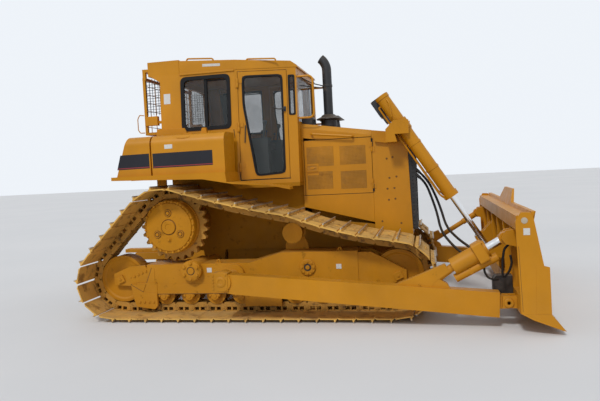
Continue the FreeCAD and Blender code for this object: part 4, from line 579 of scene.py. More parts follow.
def track_links(pitch=203.0, teeth=25, idler_r=360.0, carrier_x=1480.0, rear_sag=24.0, front_sag=48.0):
    """Each link's middle and slope along the closed path of the track pins."""
    sprocket, front, rear = (0.0, SPROCKET_Z), (FRONT_IDLER_X, IDLER_Z), (REAR_IDLER_X, IDLER_Z)
    sprocket_r = pitch / 2.0 / math.sin(2.0 * math.pi / teeth)
    top_a, top_b = outer_tangent(sprocket, sprocket_r, front, idler_r)
    rear_a, rear_b = outer_tangent(rear, idler_r, sprocket, sprocket_r)
    over = (carrier_x, top_a[1] + (top_b[1] - top_a[1]) * (carrier_x - top_a[0]) / (top_b[0] - top_a[0]))

    def angle(centre, p):
        return math.atan2(p[1] - centre[1], p[0] - centre[0])

    path = arc_down(sprocket, sprocket_r, angle(sprocket, rear_b), angle(sprocket, top_a))
    path += hanging(top_a, over, rear_sag) + [over] + hanging(over, top_b, front_sag)
    path += arc_down(front, idler_r, angle(front, top_b), -math.pi / 2.0)
    path += arc_down(rear, idler_r, -math.pi / 2.0, angle(rear, rear_a) - 2.0 * math.pi)
    loop = [Vector(p) for p in path + path[:1]]
    reach = [0.0]
    for a, b in zip(loop, loop[1:]):
        reach.append(reach[-1] + math.dist(a, b))
    count = round(reach[-1] / pitch)
    pins, k = [], 0
    for i in range(count):
        want = reach[-1] * i / count
        while reach[k + 1] < want:
            k += 1
        pins.append(loop[k].lerp(loop[k + 1], (want - reach[k]) / (reach[k + 1] - reach[k])))
    return [((a + b) / 2.0, math.atan2(b.y - a.y, b.x - a.x)) for a, b in zip(pins, pins[1:] + pins[:1])]


# Pieces

SIDES = (("right", RIGHT), ("left", LEFT))
UP = (0, 0, 1)
FLAT = (0, 0, 0)


def handed(form, side):
    """Form drawn for the right side, or its mirror image for the left."""
    return form.mirrored() if side > 0 else form


def cube():
    return Form().block(-0.5, 0.5, -0.5, 0.5, -0.5, 0.5)


def build_tracks(width):
    """Shoes, worn grouser edges, links, pins and shoe bolts of both tracks."""
    half = width * 500
    shoe = Form().side_plate([(-97, 52), (62, 52), (92, 48), (111, 41), (112, 47), (96, 56), (92, 67), (-56, 67),
                              (-61, 76), (-64, 104), (-73, 104), (-80, 74), (-90, 66), (-97, 60)], -half, half)
    edge = Form().side_plate([(-62, 88), (-62.8, 105), (-74.2, 105), (-77.5, 88)], -half - 0.4, half + 0.4)
    link = Form()
    rail = rounded_outline([(-99, -20), (-92, -58), (92, -58), (99, -20), (86, -2), (-86, -2)], 12, 2)
    for y0, y1 in ((-94, -52), (52, 94)):
        link.side_plate(rail, y0, y1)
        for u0, u1 in ((-88, -62), (-11, 11), (62, 88)):
            link.block(u0, u1, y0 + 3, y1 - 3, -6, 53)
        link.block(-88, 88, y0 + 2, y1 - 2, 42, 53)
        link.rod((-101.6, y0 - 4, 0), (-101.6, y1 + 4, 0), 38, 18)
        link.rod((-101.6, y0 - 9, 0), (-101.6, y1 + 9, 0), 20, 12)
    links = track_links()
    for name, side in SIDES:
        y = side * TRACK_CENTRE
        places = [((x, y, z), (0, -slope, 0)) for (x, z), slope in links]
        repeated("track_shoes_" + name, shoe, places, "shoe_steel", replaces=("track_" + name,))
        repeated("grouser_edges_" + name, edge, places, "bare_steel")
        repeated("track_links_" + name, link, places, "link_steel")
        heads = [((x + u * math.cos(a) - 66 * math.sin(a), y + v, z + u * math.sin(a) + 66 * math.cos(a)), (0, -a, 0))
                 for (x, z), a in links for u in (-38, 38) for v in (-73, 73)]
        bolts("shoe_bolts_" + name, heads, 14, "shoe_steel", height=0.6)


def build_hubs(hub_bolts):
    """Final drive covers with rim, rings, plugs and bolts, and thin dark rings of painted shade in their recesses."""
    form, dark, y, z = Form(), Form(), -TRACK_CENTRE, SPROCKET_Z
    form.boss(0, y, z, [(0, -120), (249, -120), (249, 38.3), (326, 38.3), (326, 72), (316, 78), (316, 176), (312, 183),
                        (292, 186), (288, 190), (284, 204), (278, 207), (96, 207), (94, 198), (86, 198), (84, 207),
                        (84, 216), (78, 220), (40, 220), (36, 214), (0, 214)], 72)
    # dark holds painted shade: thin dark discs round each plug's foot and in its socket, and a ring in the cover's
    # groove.
    for spot in ring_spots(0, y, z, 168, 3, math.radians(90)):
        form.boss(*spot, [(0, 205), (42, 205), (42, 216), (38, 220), (33, 220), (30, 210), (20, 210), (18, 222),
                          (0, 222)], 28)
        dark.boss(*spot, [(0, 207), (48, 207), (48, 208), (0, 208)], 28)
        dark.boss(*spot, [(17, 211), (31, 211), (31, 212), (17, 212)], 28)
    dark.boss(0, y, z, [(85, 199), (95, 199), (95, 200), (85, 200)], 48)
    form.boss(0, y, z - 150, [(0, 203), (26, 203), (26, 213), (18, 215), (0, 219)], 18)
    piece("final_drive_covers", form.both(), "frame_yellow", replaces=("final_drives",), smooth=32)
    piece("hub_recess_rings", dark.both(), "seam_brown")
    spots = ring_spots(0, y - 185, z, 302, hub_bolts, 0.1) + [(0, y - 219, z - 150)]
    side_bolts("hub_bolts", spots, 15, "frame_yellow", height=1)


def build_frame_trim():
    """Caps, rings, bolts, eyes and plates on the roller frames and the push arms, with thin dark rings of painted shade
    in the caps' grooves and recesses.
    """
    # dark collects painted shade: thin dark rings laid in the pivot cap's groove and the recoil cap's recess.
    ends, dark, seams, cap_bolts = Form(), Form(), Form(), []
    face = -TRACK_CENTRE - 150
    for i in range(8):
        x, z = -132 + 322 * i, 265.3
        ends.boss(x, face, z - 12, [(0, -2), (52, -2), (52, 12), (46, 18), (28, 18), (24, 24), (0, 24)], 28)
        for dx in (-52, 52):
            ends.boss(x + dx, face - 2, z - 4, [(0, -2), (20, -2), (20, 12), (0, 14)], 14)
            cap_bolts.append((x + dx, face - 15, z - 4))
        if x > 1050:
            ends.side_plate([(x - 84, 350), (x + 84, 350), (x + 76, 402), (x - 76, 402)], face - 16, face + 1)
    pivot = (260, -1315, 566)
    ends.boss(*pivot, [(0, -1), (116, -1), (116, 6), (110, 10), (52, 10), (48, 4), (42, 4), (38, 14), (0, 15)], 40)
    dark.boss(*pivot, [(39, 5), (49, 5), (49, 6), (39, 6)], 32)
    for spot in ring_spots(*pivot, 92, 6, 0.5):
        ends.boss(*spot, [(0, -40), (34, -40), (34, 8), (30, 12), (0, 12)], 20)
    ends.side_plate([(-272, 598), (-387, 313), (-372, 283), (1050, 286), (1050, 404), (-236, 404), (-236, 598)], -1249,
                    -1233)
    ends.side_plate([(-548, 404), (-511, 211), (-484, 132), (-250, 100), (-214, 140), (-214, 296), (-392, 310),
                     (-352, 404)], -1261, -1236)
    for a, b, y in (((-272, 600), (-389, 312), -1250), ((-389, 312), (-548, 404), -1262),
                    ((-372, 282), (890, 286), -1250)):
        a, b = Vector(a), Vector(b)
        side = (b - a).orthogonal().normalized() * 3.5
        seams.side_plate([a + side, a - side, b - side, b + side], y, -1240)
    ends.side_plate([(1411, 950), (1549, 950), (1617, 812), (1620, 751), (1340, 751), (1343, 812)], -965, -950)
    recoil = (1654, -1080, 575)
    ends.boss(*recoil, [(0, 150), (92, 150), (92, 180), (86, 186), (46, 186), (44, 178), (0, 178)], 36)
    dark.boss(*recoil, [(24, 178), (43, 178), (43, 180), (24, 180)], 28)
    ends.boss(*recoil, [(0, 176), (24, 176), (24, 183), (20, 186), (0, 186)], 28)
    cap_bolts += ring_spots(1654, -1266, 575, 68, 8)
    for x in (REAR_IDLER_X, FRONT_IDLER_X):
        ends.boss(x, -1246, IDLER_Z, [(0, -1), (46, -1), (46, 8), (0, 10)], 24)
        turn = Matrix.Rotation(math.radians(24), 2)
        ends.side_plate([turn @ Vector(p) + Vector((x, IDLER_Z)) for p in rectangle(-46, 46, -40, 40)], -1258, -1230)
        cap_bolts.append((x, -1258, IDLER_Z))
        ends.boss(x, -1080, IDLER_Z, [(238, 90), (250, 99), (262, 99), (262, 101), (270, 101), (270, 96), (238, 86)],
                  64)
    for x, top in ((549, 640), (2005, 752)):
        ends.pipe([(u, -1185, w) for u, w in ((x, top - 8), (x, top + 34), (x + 34, top + 34), (x + 34, top - 8))], 9)
        ends.block(x - 22, x + 56, -1205, -1165, top - 12, top + 8)
    for i in range(4):
        cap_bolts += [(-350 - 52 * i, -1234, 560 - 20 * i), (930 + 110 * i, -1254, 260), (-440 + 60 * i, -1261, 190)]
    piece("frame_seams", seams.both(), "seam_brown")
    piece("frame_caps", ends.both(), "frame_yellow", edge=2)
    piece("frame_cap_shadows", dark.both(), "grease_dark")
    side_bolts("frame_bolts", cap_bolts, 14, "frame_yellow")
    side_bolts("pivot_bolts", ring_spots(260, -1327, 566, 92, 6, 0.5), 19, "frame_yellow")
    arm = Form()
    arm.boss(780, -1760, 511, [(0, -1), (58, -1), (58, 10), (52, 14), (30, 14), (26, 8), (0, 8)], 40)
    arm.side_plate(rounded_outline(rectangle(670, 860, 410, 610), 14, 3), -1766, -1600)
    arm.side_plate([(2640, 440), (2930, 555), (3170, 655), (3215, 575), (3060, 470), (3020, 395)], -1705, -1619)
    arm.boss(3775, -1741, 262, [(0, -2), (48, -2), (48, 14), (42, 20), (22, 20), (18, 12), (0, 12)], 28)
    piece("arm_caps", arm.both(), "frame_yellow", "blade_frame", edge=2)
    spots = [(694, -1766, 438 + 36 * i) for i in range(5)] + [(838, -1766, 430), (838, -1766, 590)]
    side_bolts("arm_bolts", spots, 11, "frame_yellow", "blade_frame")


MESH_FIELDS = ((1560, 1900, 1760, 1970), (1706, 1900, 1725, 1758), (1980, 2300, 1730, 1960), (1560, 1880, 1440, 1616),
               (1706, 1880, 1618, 1660), (1980, 2300, 1430, 1650))


def build_mesh_fields(pitch):
    """Rusty mesh in the four sunk fields of each engine door, on darker back sheets as painted shade seen through the
    wires, with the latch box.
    """
    pitch *= 1000
    for name, side in SIDES:
        body = "engine_door_%s_body" % name
        back, rim, places = Form(), Form(), []
        for x0, x1, z0, z1 in MESH_FIELDS:
            back.block(x0 + 0.5, x1 - 0.5, -500.9, -493, z0 + 0.5, z1 - 0.5)
            wide, high = x1 - x0 - 2, z1 - z0 - 2
            columns, rows = int(wide / pitch), int(high / pitch)
            places += [((x0 + wide * i / columns, side * 501.7, (z0 + z1) / 2), FLAT, (4, 2.4, high))
                       for i in range(1, columns)]
            places += [(((x0 + x1) / 2, side * 502.5, z0 + high * i / rows), FLAT, (wide, 2.4, 4))
                       for i in range(1, rows)]
        repeated("door_mesh_" + name, cube(), places, "mesh_brown", body)
        piece("door_mesh_backs_" + name, handed(back, side), "mesh_back", body)
        outer = rounded_outline(rectangle(1548, 1700, 1662, 1748), 10, 3)
        inner = rounded_outline(rectangle(1562, 1686, 1674, 1736), 8, 3)
        rings = [[(x, y, z) for x, z in outline]
                 for outline, y in ((outer, -500.5), (outer, -507), (inner, -507), (inner, -500.5))]
        rim.loft(list(zip(*rings)), closed=True)
        rim.block(1600, 1650, -506, -499.5, 1690, 1722)
        rim.rod((1640, -506, 1706), (1672, -506, 1706), 6)
        piece("door_latch_" + name, handed(rim, side), "panel_yellow", body, edge=1.5)
        plate = Form().block(1563, 1685, -501.6, -500.1, 1675, 1735)
        piece("door_latch_back_" + name, handed(plate, side), "mesh_brown", body)


SIDE_WINDOW = rectangle(80, 690, 2262, 2900)
DOOR_LIGHT = [(862, 2520), (990, 1650), (1330, 1672), (1330, 2872), (862, 2872)]
CORNER_LIGHT = rectangle(1410, 1475, 2380, 2860)


def seal_on_cab(form, corners, width, radius, high=9):
    """Rubber seal over the edge of an opening in the cab's skin."""
    outer = rounded_outline(grown_outline(corners, width * 0.42), radius + width * 0.3)
    inner = rounded_outline(grown_outline(corners, -width * 0.58), radius)
    return frame_on_cab(form, outer, inner, -22, high)


def build_window_trim(seal):
    """Seals, mullion, sliding sash, door seal, handle, stays and thin strips of painted shade in the door's gaps on the
    cab's sides.
    """
    rubber = seal_on_cab(Form(), SIDE_WINDOW, seal * 1000, 62)
    seal_on_cab(rubber, CORNER_LIGHT, 20, 16, high=6)
    slab_on_cab(rubber, rectangle(366, 402, 2270, 2895), -36, -8)
    slab_on_cab(rubber, rectangle(395, 688, 2850, 2862), -34, -10)
    # Two thin strips of painted shade in the gaps along the door's rear edge and bottom.
    slab_on_cab(rubber, [(731, 2229), (740, 2229), (805, 1605), (796, 1605)], -1, 1.5)
    slab_on_cab(rubber, rectangle(797, 1396, 1594, 1602), -1, 1.2)
    piece("cab_seals", rubber.both(), "rubber", edge=3)
    handle = slab_on_cab(Form(), rectangle(1336, 1368, 2420, 2480), -1, 12)
    handle.rod(off_cab(1350, 2450, 10, 2450), off_cab(1350, 2450, 46, 2450), 9)
    handle.pipe([off_cab(1354, 2450, 42, 2452), off_cab(1288, 2450, 46, 2446), off_cab(1220, 2450, 44, 2474)], 7.5)
    handle.pipe([off_cab(880, 2270, 12, 2270), off_cab(876, 2180, 16, 2180), off_cab(868, 2060, 14, 2060)], 6)
    for name, side in SIDES:
        body = "cab_door_%s_body" % name
        door = seal_on_cab(Form(), DOOR_LIGHT, 24, 60, high=7)
        piece("door_seal_" + name, handed(door, side), "rubber", body, edge=2.5)
        piece("door_handle_" + name, handed(handle, side), "satin_black", body, edge=1)


def build_roof_trim():
    """Roof rails, roof edge, post feet, mesh side of the rear guard and its loop bracket."""
    form = Form()
    for x0, x1, z0, z1, rise in ((140, 500, 3128, 3104, 22), (907, 1282, 3080, 3056, 8)):
        y = -cab_half(x0, 2960) + 34
        form.pipe([(x0, y, z0 - 14), (x0 + 14, y, z0 + rise), (x1 - 14, y, z1 + rise), (x1, y, z1 - 14)], 10)
    y = -cab_half(0, 2200)
    form.side_plate([(-275, 2186), (138, 2186), (128, 2236), (104, 2284), (-264, 2292)], y - 26, y + 20)
    slab_on_cab(form, rectangle(56, 768, 2944, 2966), -4, 16)
    loop = ((-458, 2480), (-520, 2490), (-548, 2440), (-548, 2300), (-520, 2262), (-458, 2262))
    form.pipe([(x, -800, z) for x, z in loop], 6)
    form.block(-452, -280, -800, -740, 2348, 2464)
    form.block(-456, -416, -782, -740, 2925, 3062)
    form.block(-456, -416, -782, 0, 3024, 3062)
    form.block(-420, -366, -782, -742, 3024, 3062)
    piece("roof_trim", form.both(), "panel_yellow", edge=3)
    wires = []
    for y in (-772, 772):
        wires += [((-452 + 232 * i / 6, y, 2710), FLAT, (5, 5, 460)) for i in range(1, 6)]
        wires += [((-338, y, 2484 + 450 * i / 13), FLAT, (236, 5, 5)) for i in range(1, 13)]
    repeated("guard_side_mesh", cube(), wires, "satin_black")


def build_tank_trim():
    """Blank stripes with a thin line, blank plate, brackets and the fender's tread."""
    black, red, form = Form(), Form(), Form()
    for low_x, high_x, end_x in ((-590, -540, -172), (-128, -128, 615)):
        black.side_plate([(low_x, 1797), (end_x, 1801), (end_x, 1974), (high_x, 1970)], -1331.6, -1329.5)
        red.side_plate([(low_x + 5, 1807), (end_x, 1811), (end_x, 1820), (low_x + 9, 1816)], -1332.4, -1331)
    plates = Form().side_plate([(28, 2016), (128, 2018), (128, 2068), (28, 2066)], -1332.5, -1329.5)
    form.side_plate([(196, 2176), (330, 2176), (318, 2196), (212, 2196)], -1180, -1020)
    form.side_plate([(355, 2176), (450, 2176), (432, 2262), (385, 2262)], -1010, -960)
    slope, middle = Vector((0, -0.7071, 0.7071)), Vector((250, -1297.8, 2147.8))
    angles = [2 * math.pi * k / 32 for k in range(32)]
    for reach, tall, low, high in ((90, 30 * 0.7071, -6, 4), (78, 20 * 0.7071, 3, 6)):
        oval = [Vector((reach * math.cos(t), -tall * math.sin(t), -tall * math.sin(t))) for t in angles]
        form.loft([[middle + slope * out + p for p in oval] for out in (low, high)])
    piece("tank_stripes", black.both(), "stripe_black")
    piece("tank_stripe_lines", red.both(), "stripe_red")
    piece("tank_plates", plates.both(), "blank_plate", edge=0.8)
    piece("tank_fittings", form.both(), "panel_yellow", edge=2.5)
    stud = Form().turned(FLAT, UP, [(0, -0.4), (1, -0.4), (1, 0.2), (0.7, 0.5), (0, 0.5)], 8)
    places = [((900 + 42 * i + 21 * (k % 2), side * (925 + 36 * k), 1590 - (40 + 42 * i) * 90 / 595),
               (0, math.radians(8.6), 0), (9, 9, 9)) for side in (RIGHT, LEFT) for i in range(13) for k in range(4)]
    repeated("step_tread", stud, places, "body_yellow")


def build_small_plates():
    """Sheets beside the main frame, the drawbar's block, and small blank plates on post, roof, frame and blade."""
    sheets = Form().side_plate(rectangle(422, 1497, 1075, 1498), -CASE_HALF + 3, -CASE_HALF + 57)
    sheets.side_plate(rectangle(-430, -300, 1500, 1662), -600, -580)
    # The sheets take the under finish: body paint darkened as painted shade, with dust.
    piece("under_sheets", sheets.both(), "under_brown")
    piece("drawbar_block", Form().block(-1060, -300, -108, 108, 541, 640), "frame_yellow", edge=6)
    form = slab_on_cab(Form(), rectangle(-168, -80, 2600, 2728), -0.5, 2.5)
    y = -cab_half(400, 2960)
    form.side_plate([(360, 3030), (590, 3020), (590, 3052), (360, 3062)], y - 2, y + 1)
    for x, z in ((434, 535), (1982, 552)):
        form.side_plate(rectangle(x, x + 60, z, z + 55), -1247.5, -1244.5)
    piece("blank_plates", form, "blank_plate", edge=0.8)
    blade = Form().side_plate(rectangle(3895, 3955, 966, 1031), -2002.5, -1999.5)
    piece("blade_plate", blade, "blank_plate", "blade_frame", edge=0.8)


GUARD_MARKS = ((2554, 1776), (2626, 1791), (2579, 1540), (2664, 1552), (2550, 1408), (2634, 1413), (2561, 1271),
               (2640, 1282), (2470, 1010), (2700, 980))


def build_guard_trim():
    """Bolts of the radiator guard's side, dark brown as painted shade of the guard's marks, hinge covers, grille studs
    and painted shade in the gaps along the hood's seams.
    """
    # The flat bolt heads are dark brown as painted shade of the pressed marks on the guard's side.
    side_bolts("guard_bolts", [(x, -500, z) for x, z in GUARD_MARKS], 10, "seam_brown", height=0.4)
    dark = Form()
    for z in (1990, 1430):
        dark.block(2372, 2392, -513, -503, z - 46, z + 46)
    # Thin dark strips along the engine door's top and bottom edges: painted shade in the gaps.
    dark.block(1500.5, 2379.5, -501.2, -499, 2051.5, 2055)
    dark.block(1502, 2378, -501.2, -499, 1364.5, 1369.5)
    piece("dark_gaps", dark.both(), "rubber")
    stud = Form().turned(FLAT, UP, [(0, -0.3), (1, -0.3), (1, 0.4), (0.6, 0.8), (0, 0.8)], 8)
    studs = [((2858, side * 470, 918 + 45 * i), outward(side), (10, 10, 10)) for side in (RIGHT, LEFT)
             for i in range(22)]
    repeated("grille_studs", stud, studs, "satin_black")


def build_lift_trim():
    """Pipes, clamps and lamp of each lift cylinder, which swing with its barrel, and the tilt rod's sleeve."""
    way = Vector((952, 0, -1505)).normalized()
    across = Vector((-way.z, 0, way.x))
    for name, side in SIDES:
        body = "lift_barrel_%s_body" % name

        def at(along, out, y=0):
            return Vector((2761, side * 650 + y, 2155)) + way * along + across * out

        form = Form()
        form.pipe([at(along, -104 + rise) for along, rise in ((-330, 34), (-330, 0), (-140, 0), (120, 0), (930, 0),
                                                              (985, 20))], 11)
        form.pipe([at(-360, 30, side * 70), at(-300, 30, side * 92), at(-150, -40, side * 92)], 9)
        for along in (260, 620):
            form.turned(at(along, 0), way, [(77, -16), (82, -14), (82, 14), (77, 16)], 36)
        form.turned(at(1025, 0), way, [(60, -30), (80, -26), (80, -8), (74, -2), (60, -2)], 36)
        form.rod(at(960, -78, side * 30), at(1010, -78, side * 30), 14)
        piece("lift_pipes_" + name, form, "body_yellow", body, edge=1.5)
        corners = rounded_outline([at(u, w).xz for u, w in rectangle(-452, -218, -151, 63)], 26, 4)
        lamp = Form().side_plate(corners, side * 582, side * 452)
        piece("lift_lamp_" + name, lamp, "satin_black", body, edge=4)
        glass = Form().loft([[at(u, out, w - side * 133) for u, w in rectangle(u0, u1, -half, half)]
                             for out, u0, u1, half in ((62, -425, -245, 44), (66.5, -420, -250, 40))])
        piece("lift_lamp_glass_" + name, glass, "lamp_glass", body, edge=1)
    sleeve = Form().rod((3588, -1657, 807), (3716, -1657, 878), 41, 32)
    piece("tilt_rod_sleeve", sleeve, "chrome", "blade_frame")


def build_stack_trim():
    """Clamps on the stack, its stay, and the wiper arm and mirror stay at the cab's front."""
    form = Form()
    x, y = 1812, -150
    form.turned((x, y, 2760), UP, [(58, -18), (66, -14), (66, 14), (58, 18)], 32)
    form.turned((x, y, 0), UP, [(58, 2236), (104, 2240), (104, 2316), (158, 2326), (162, 2332), (158, 2340),
                                (104, 2362), (84, 2386), (66, 2394), (58, 2394)], 40)
    form.turned((1740.6, y, 3113.2), (-0.766, 0, 0.643), [(0, -1), (50, -1), (50, 0.8), (0, 0.8)], 28)
    form.pipe([(x - 58, y, 2768), (1640, -300, 2790), (1505, -420, 2868)], 7)
    form.pipe([(x - 58, y, 2740), (1560, -380, 2752), (1505, -410, 2760)], 7)
    form.block(1640, 1668, -322, -290, 2776, 2806)
    piece("stack_trim", form, "satin_black", edge=1.5)


# The cutting edge's front face, from its upper line to its lip
EDGE_TOP, EDGE_LIP = (4124, 0, 207.7), (4253, 0, 45)


def build_blade_trim():
    """Face sheet and edge bolts of the blade, weld runs, hole ring, and the tilt cylinder's bolts."""
    top = Vector(EDGE_TOP)
    front = (Vector(EDGE_LIP) - top).normalized()
    turn = tuple(Vector((-front.z, 0, front.x)).to_track_quat("Z", "Y").to_euler())
    row = top + front * 60
    heads = [((row.x, -1900 + 152 * i, row.z), turn) for i in range(26)]
    bolts("edge_bolts", heads, 14, "bare_steel", "blade_frame", height=0.4)
    ring = Form().boss(3907, -2000, 1104, [(0, -2), (30, -2), (30, 3), (24, 4), (0, 4)], 24)
    piece("blade_hole_rings", ring.both(), "bare_steel", "blade_frame")
    dark = Form().side_plate([(3846, 860), (3850, 860), (3872, 232), (3868, 232)], -2000.8, -1999)
    piece("blade_seams", dark.both(), "seam_brown", "blade_frame")
    bit = Form().side_plate([(3990, 212), (4126, 212), (4120, 445), (4084, 664), (4000, 664)], -2002, -1999)
    piece("blade_bit_plates", bit.both(), "body_yellow", "blade_frame", edge=0.8)
    heights = [209.5 + 977 * i / 28 for i in range(29)]
    front_edge = [(5446.5 - math.sqrt(1472.8 ** 2 - (z - 836.4) ** 2), z) for z in heights]
    skin = Form().side_plate(front_edge + [(x - 4, z) for x, z in reversed(front_edge)], -1974.5, 1974.5)
    piece("blade_skin", skin, "body_yellow", "blade_frame")
    tilt = Form()
    way = Vector((98, 0, 54.3)).normalized()
    across = Vector((-way.z, 0, way.x))

    def near_tilt(along, out, sideways):
        return Vector((3478, -1667 + sideways, 746)) + way * along + across * out

    for a0, a1, half, deep in ((-4, 98, 106, 104), (98, 106, 84, 84)):
        ring = rounded_outline(rectangle(-half, half, -deep, deep), 26, 4)
        tilt.loft([[near_tilt(a, u, v) for u, v in ring] for a in (a0, a1)])
    turn = tuple(way.to_track_quat("Z", "Y").to_euler())
    heads = [(near_tilt(100, u, v), turn) for u in (-86, 86) for v in (-84, 84)]
    bolts("tilt_flange_bolts", heads, 13, "body_yellow", "blade_frame")
    for along in (-130, 40):
        tilt.loft([[near_tilt(a, u, v) for u, v in rectangle(-150, -86, -30, 30)] for a in (along - 14, along + 14)])
    piece("tilt_flange", tilt, "body_yellow", "blade_frame", edge=2)
    pipes = Form()
    pipes.pipe([(3734, -1640, 500), (3738, -1650, 671), (3755, -1655, 790), (3800, -1665, 838)], 12)
    pipes.pipe([(3759, -1610, 500), (3800, -1640, 560), (3827, -1660, 651), (3812, -1665, 730)], 12)
    pipes.pipe([(3690, -1640, 480), (3640, -1680, 486), (3585, -1680, 510), (3556, -1668, 570), (3556, -1667, 640)], 11)
    piece("valve_pipes", pipes, "rubber", "blade_frame")


HOSE_ROUTES = {
    "a": [(2945.2, -452, 1584.8), (3025.2, -452, 1504.8), (3110, -475, 1330), (3180, -520, 1130), (3230, -655, 925),
          (3350, -940, 815), (3440, -1180, 765), (3470, -1380, 756), (3470, -1545, 756)],
    "b": [(2945.2, -452, 1522.8), (3010.2, -452, 1457.8), (3070, -475, 1290), (3130, -520, 1095), (3165, -655, 885),
          (3265, -940, 768), (3355, -1180, 702), (3410, -1380, 690), (3410, -1545, 690)],
}


def spline_points(name, points):
    """Points read from a smooth spline through the control points' run."""
    curve = bpy.data.curves.new(name, "CURVE")
    curve.dimensions = "3D"
    spline = curve.splines.new("NURBS")
    spline.points.add(len(points) - 1)
    for target, p in zip(spline.points, points):
        target.co = (*place(*p), 1)
    spline.order_u, spline.use_endpoint_u, spline.resolution_u = 3, True, 12
    carrier = bpy.data.objects.new(name, curve)
    bpy.context.scene.collection.objects.link(carrier)
    bpy.context.view_layer.update()
    graph = bpy.context.evaluated_depsgraph_get()
    line = bpy.data.meshes.new_from_object(carrier.evaluated_get(graph), depsgraph=graph)
    path = [v.co.copy() for v in line.vertices]
    bpy.data.objects.remove(carrier)
    return path


def build_hoses(radius=0.0148):
    """Two tilt hoses, each one tube along its spline from the grille to the tilt cylinder."""
    for name, route in HOSE_ROUTES.items():
        path = spline_points("route_" + name, route)
        origin = Vector((AXLE_BEHIND_MIDDLE, 0, 0))
        form = Form().sweep([p * 1000 + origin for p in path], radius * 1000, 16)
        obj = mesh_object("tilt_hose_" + name, form, "rubber", smooth=60)
        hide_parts("tilt_hose_%s_tractor" % name, "tilt_hose_%s_blade" % name)
        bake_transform(obj)


def crowned_pad(name, corners_low, corners_high, crown=0.018):
    """Cushion: a block of rounded, crowned faces whose sides pull in between the corners."""
    corners_low, corners_high = [place(*p) for p in corners_low], [place(*p) for p in corners_high]
    mesh = bpy.data.meshes.new(name)
    work = bmesh.new()
    low, high = [work.verts.new(p) for p in corners_low], [work.verts.new(p) for p in corners_high]
    work.faces.new(list(reversed(low)))
    work.faces.new(high)
    for i in range(4):
        work.faces.new((low[i], low[(i + 1) % 4], high[(i + 1) % 4], high[i]))
    bmesh.ops.recalc_face_normals(work, faces=work.faces)
    bmesh.ops.subdivide_edges(work, edges=work.edges, cuts=9, use_grid_fill=True)
    centre = sum((v.co for v in work.verts), Vector()) / len(work.verts)
    height = sum(corners_high, Vector()) / 4 - sum(corners_low, Vector()) / 4
    one, two = corners_low[1] - corners_low[0], corners_low[2] - corners_low[1]
    up, along = height.normalized(), one.normalized()
    over = up.cross(along).normalized()
    for v in work.verts:
        d = (v.co - centre) * 2
        a, b, u = d.dot(along) / one.length, d.dot(over) / two.length, d.dot(up) / height.length
        round_a, round_b = max(0, 1 - a * a), max(0, 1 - b * b)
        channel = 0.006 * max(0, 1 - abs(abs(a) - 0.45) * 14) if u > 0.9 and abs(b) < 0.8 else 0
        if u > 0.5:
            v.co += up * (crown * (round_a * round_b) ** 0.5 - crown - channel)
        for part, way in ((a, along), (b, over)):
            if abs(part) > 0.95:
                v.co -= way * math.copysign(0.010, part) * (1 - abs(u))
    work.to_mesh(mesh)
    work.free()
    mesh.materials.append(FINISHES["seat_cloth"])
    obj = bpy.data.objects.new(name, mesh)
    bpy.context.scene.collection.objects.link(obj)
    bevel = obj.modifiers.new("Rounded edges", "BEVEL")
    bevel.width, bevel.segments, bevel.angle_limit, bevel.limit_method = 0.018, 3, math.radians(50), "ANGLE"
    plain_mesh(obj)
    obj.data.polygons.foreach_set("use_smooth", [True] * len(obj.data.polygons))
    return obj


def build_seat():
    """Seat and back cushions with sewn channels, levers with knobs, a thin upright plate and a bent bar in front of the
    seat.
    """
    base = rectangle(474, 986, -256, 256)
    seat = crowned_pad("seat_pad", [(x, y, 1987) for x, y in base], [(x, y, 2108) for x, y in base])
    finish_piece(seat)
    faces = [[(foot, -246, 2113), (foot, 246, 2113), (head, 246, 2737), (head, -246, 2737)]
             for foot, head in ((454, 374), (566, 478))]
    back = crowned_pad("seat_back", *faces)
    finish_piece(back, replaces=("seat_cushions",))
    trim = Form()
    for x in (940, 1000):
        for y in (-330, 330):
            trim.rod((x, y, 2128), (x + 14, y, 2210), 6)
            trim.turned((x + 14, y, 2210), UP, [(0, -6), (13, -2), (16, 10), (10, 22), (0, 24)], 14)
    trim.block(1262, 1268, -240, 240, 1960, 2120)
    trim.pipe([(1240, -120, 2160), (1180, -120, 2230), (1180, 120, 2230), (1240, 120, 2160)], 10)
    piece("cab_levers", trim, "satin_black", edge=1)


# Operators

DONE = {"FINISHED"}


class DOZER_OT_finishes(Operator):
    """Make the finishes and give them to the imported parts"""
    bl_idname = "dozer.finishes"
    bl_label = "Finishes"

    def execute(self, context):
        make_finishes(context.scene.dozer_colours)
        for node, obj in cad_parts.items():
            if not obj.material_slots:
                raise RuntimeError("the packed part %s has no material slot" % node)
            for entry in obj.material_slots:
                entry.material = FINISHES[NODE_FINISH[node]]
        return DONE


class DOZER_OT_edges(Operator):
    """Break the sharp edges of the plate work"""
    bl_idname = "dozer.edges"
    bl_label = "Broken edges"

    def execute(self, context):
        for node in SHARP_NODES:
            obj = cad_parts[node]
            obj.modifiers.new("Weld", "WELD").merge_threshold = 0.00002
            bevel_edges(obj, 0.005, 40)
        return DONE


class DOZER_OT_tracks(Operator):
    """Build shoes, links, pins and bolts of both tracks"""
    bl_idname = "dozer.tracks"
    bl_label = "Tracks"

    def execute(self, context):
        build_tracks(context.scene.dozer_sizes.shoe_width)
        return DONE


class DOZER_OT_hubs(Operator):
    """Build the final drives' covers with plugs and bolts"""
    bl_idname = "dozer.hubs"
    bl_label = "Hub covers"

    def execute(self, context):
        build_hubs(context.scene.dozer_sizes.hub_bolts)
        return DONE


class DOZER_OT_frame_trim(Operator):
    """Build caps, eyes and bolts of the roller frames and push arms"""
    bl_idname = "dozer.frame_trim"
    bl_label = "Frame caps and bolts"

    def execute(self, context):
        build_frame_trim()
        return DONE


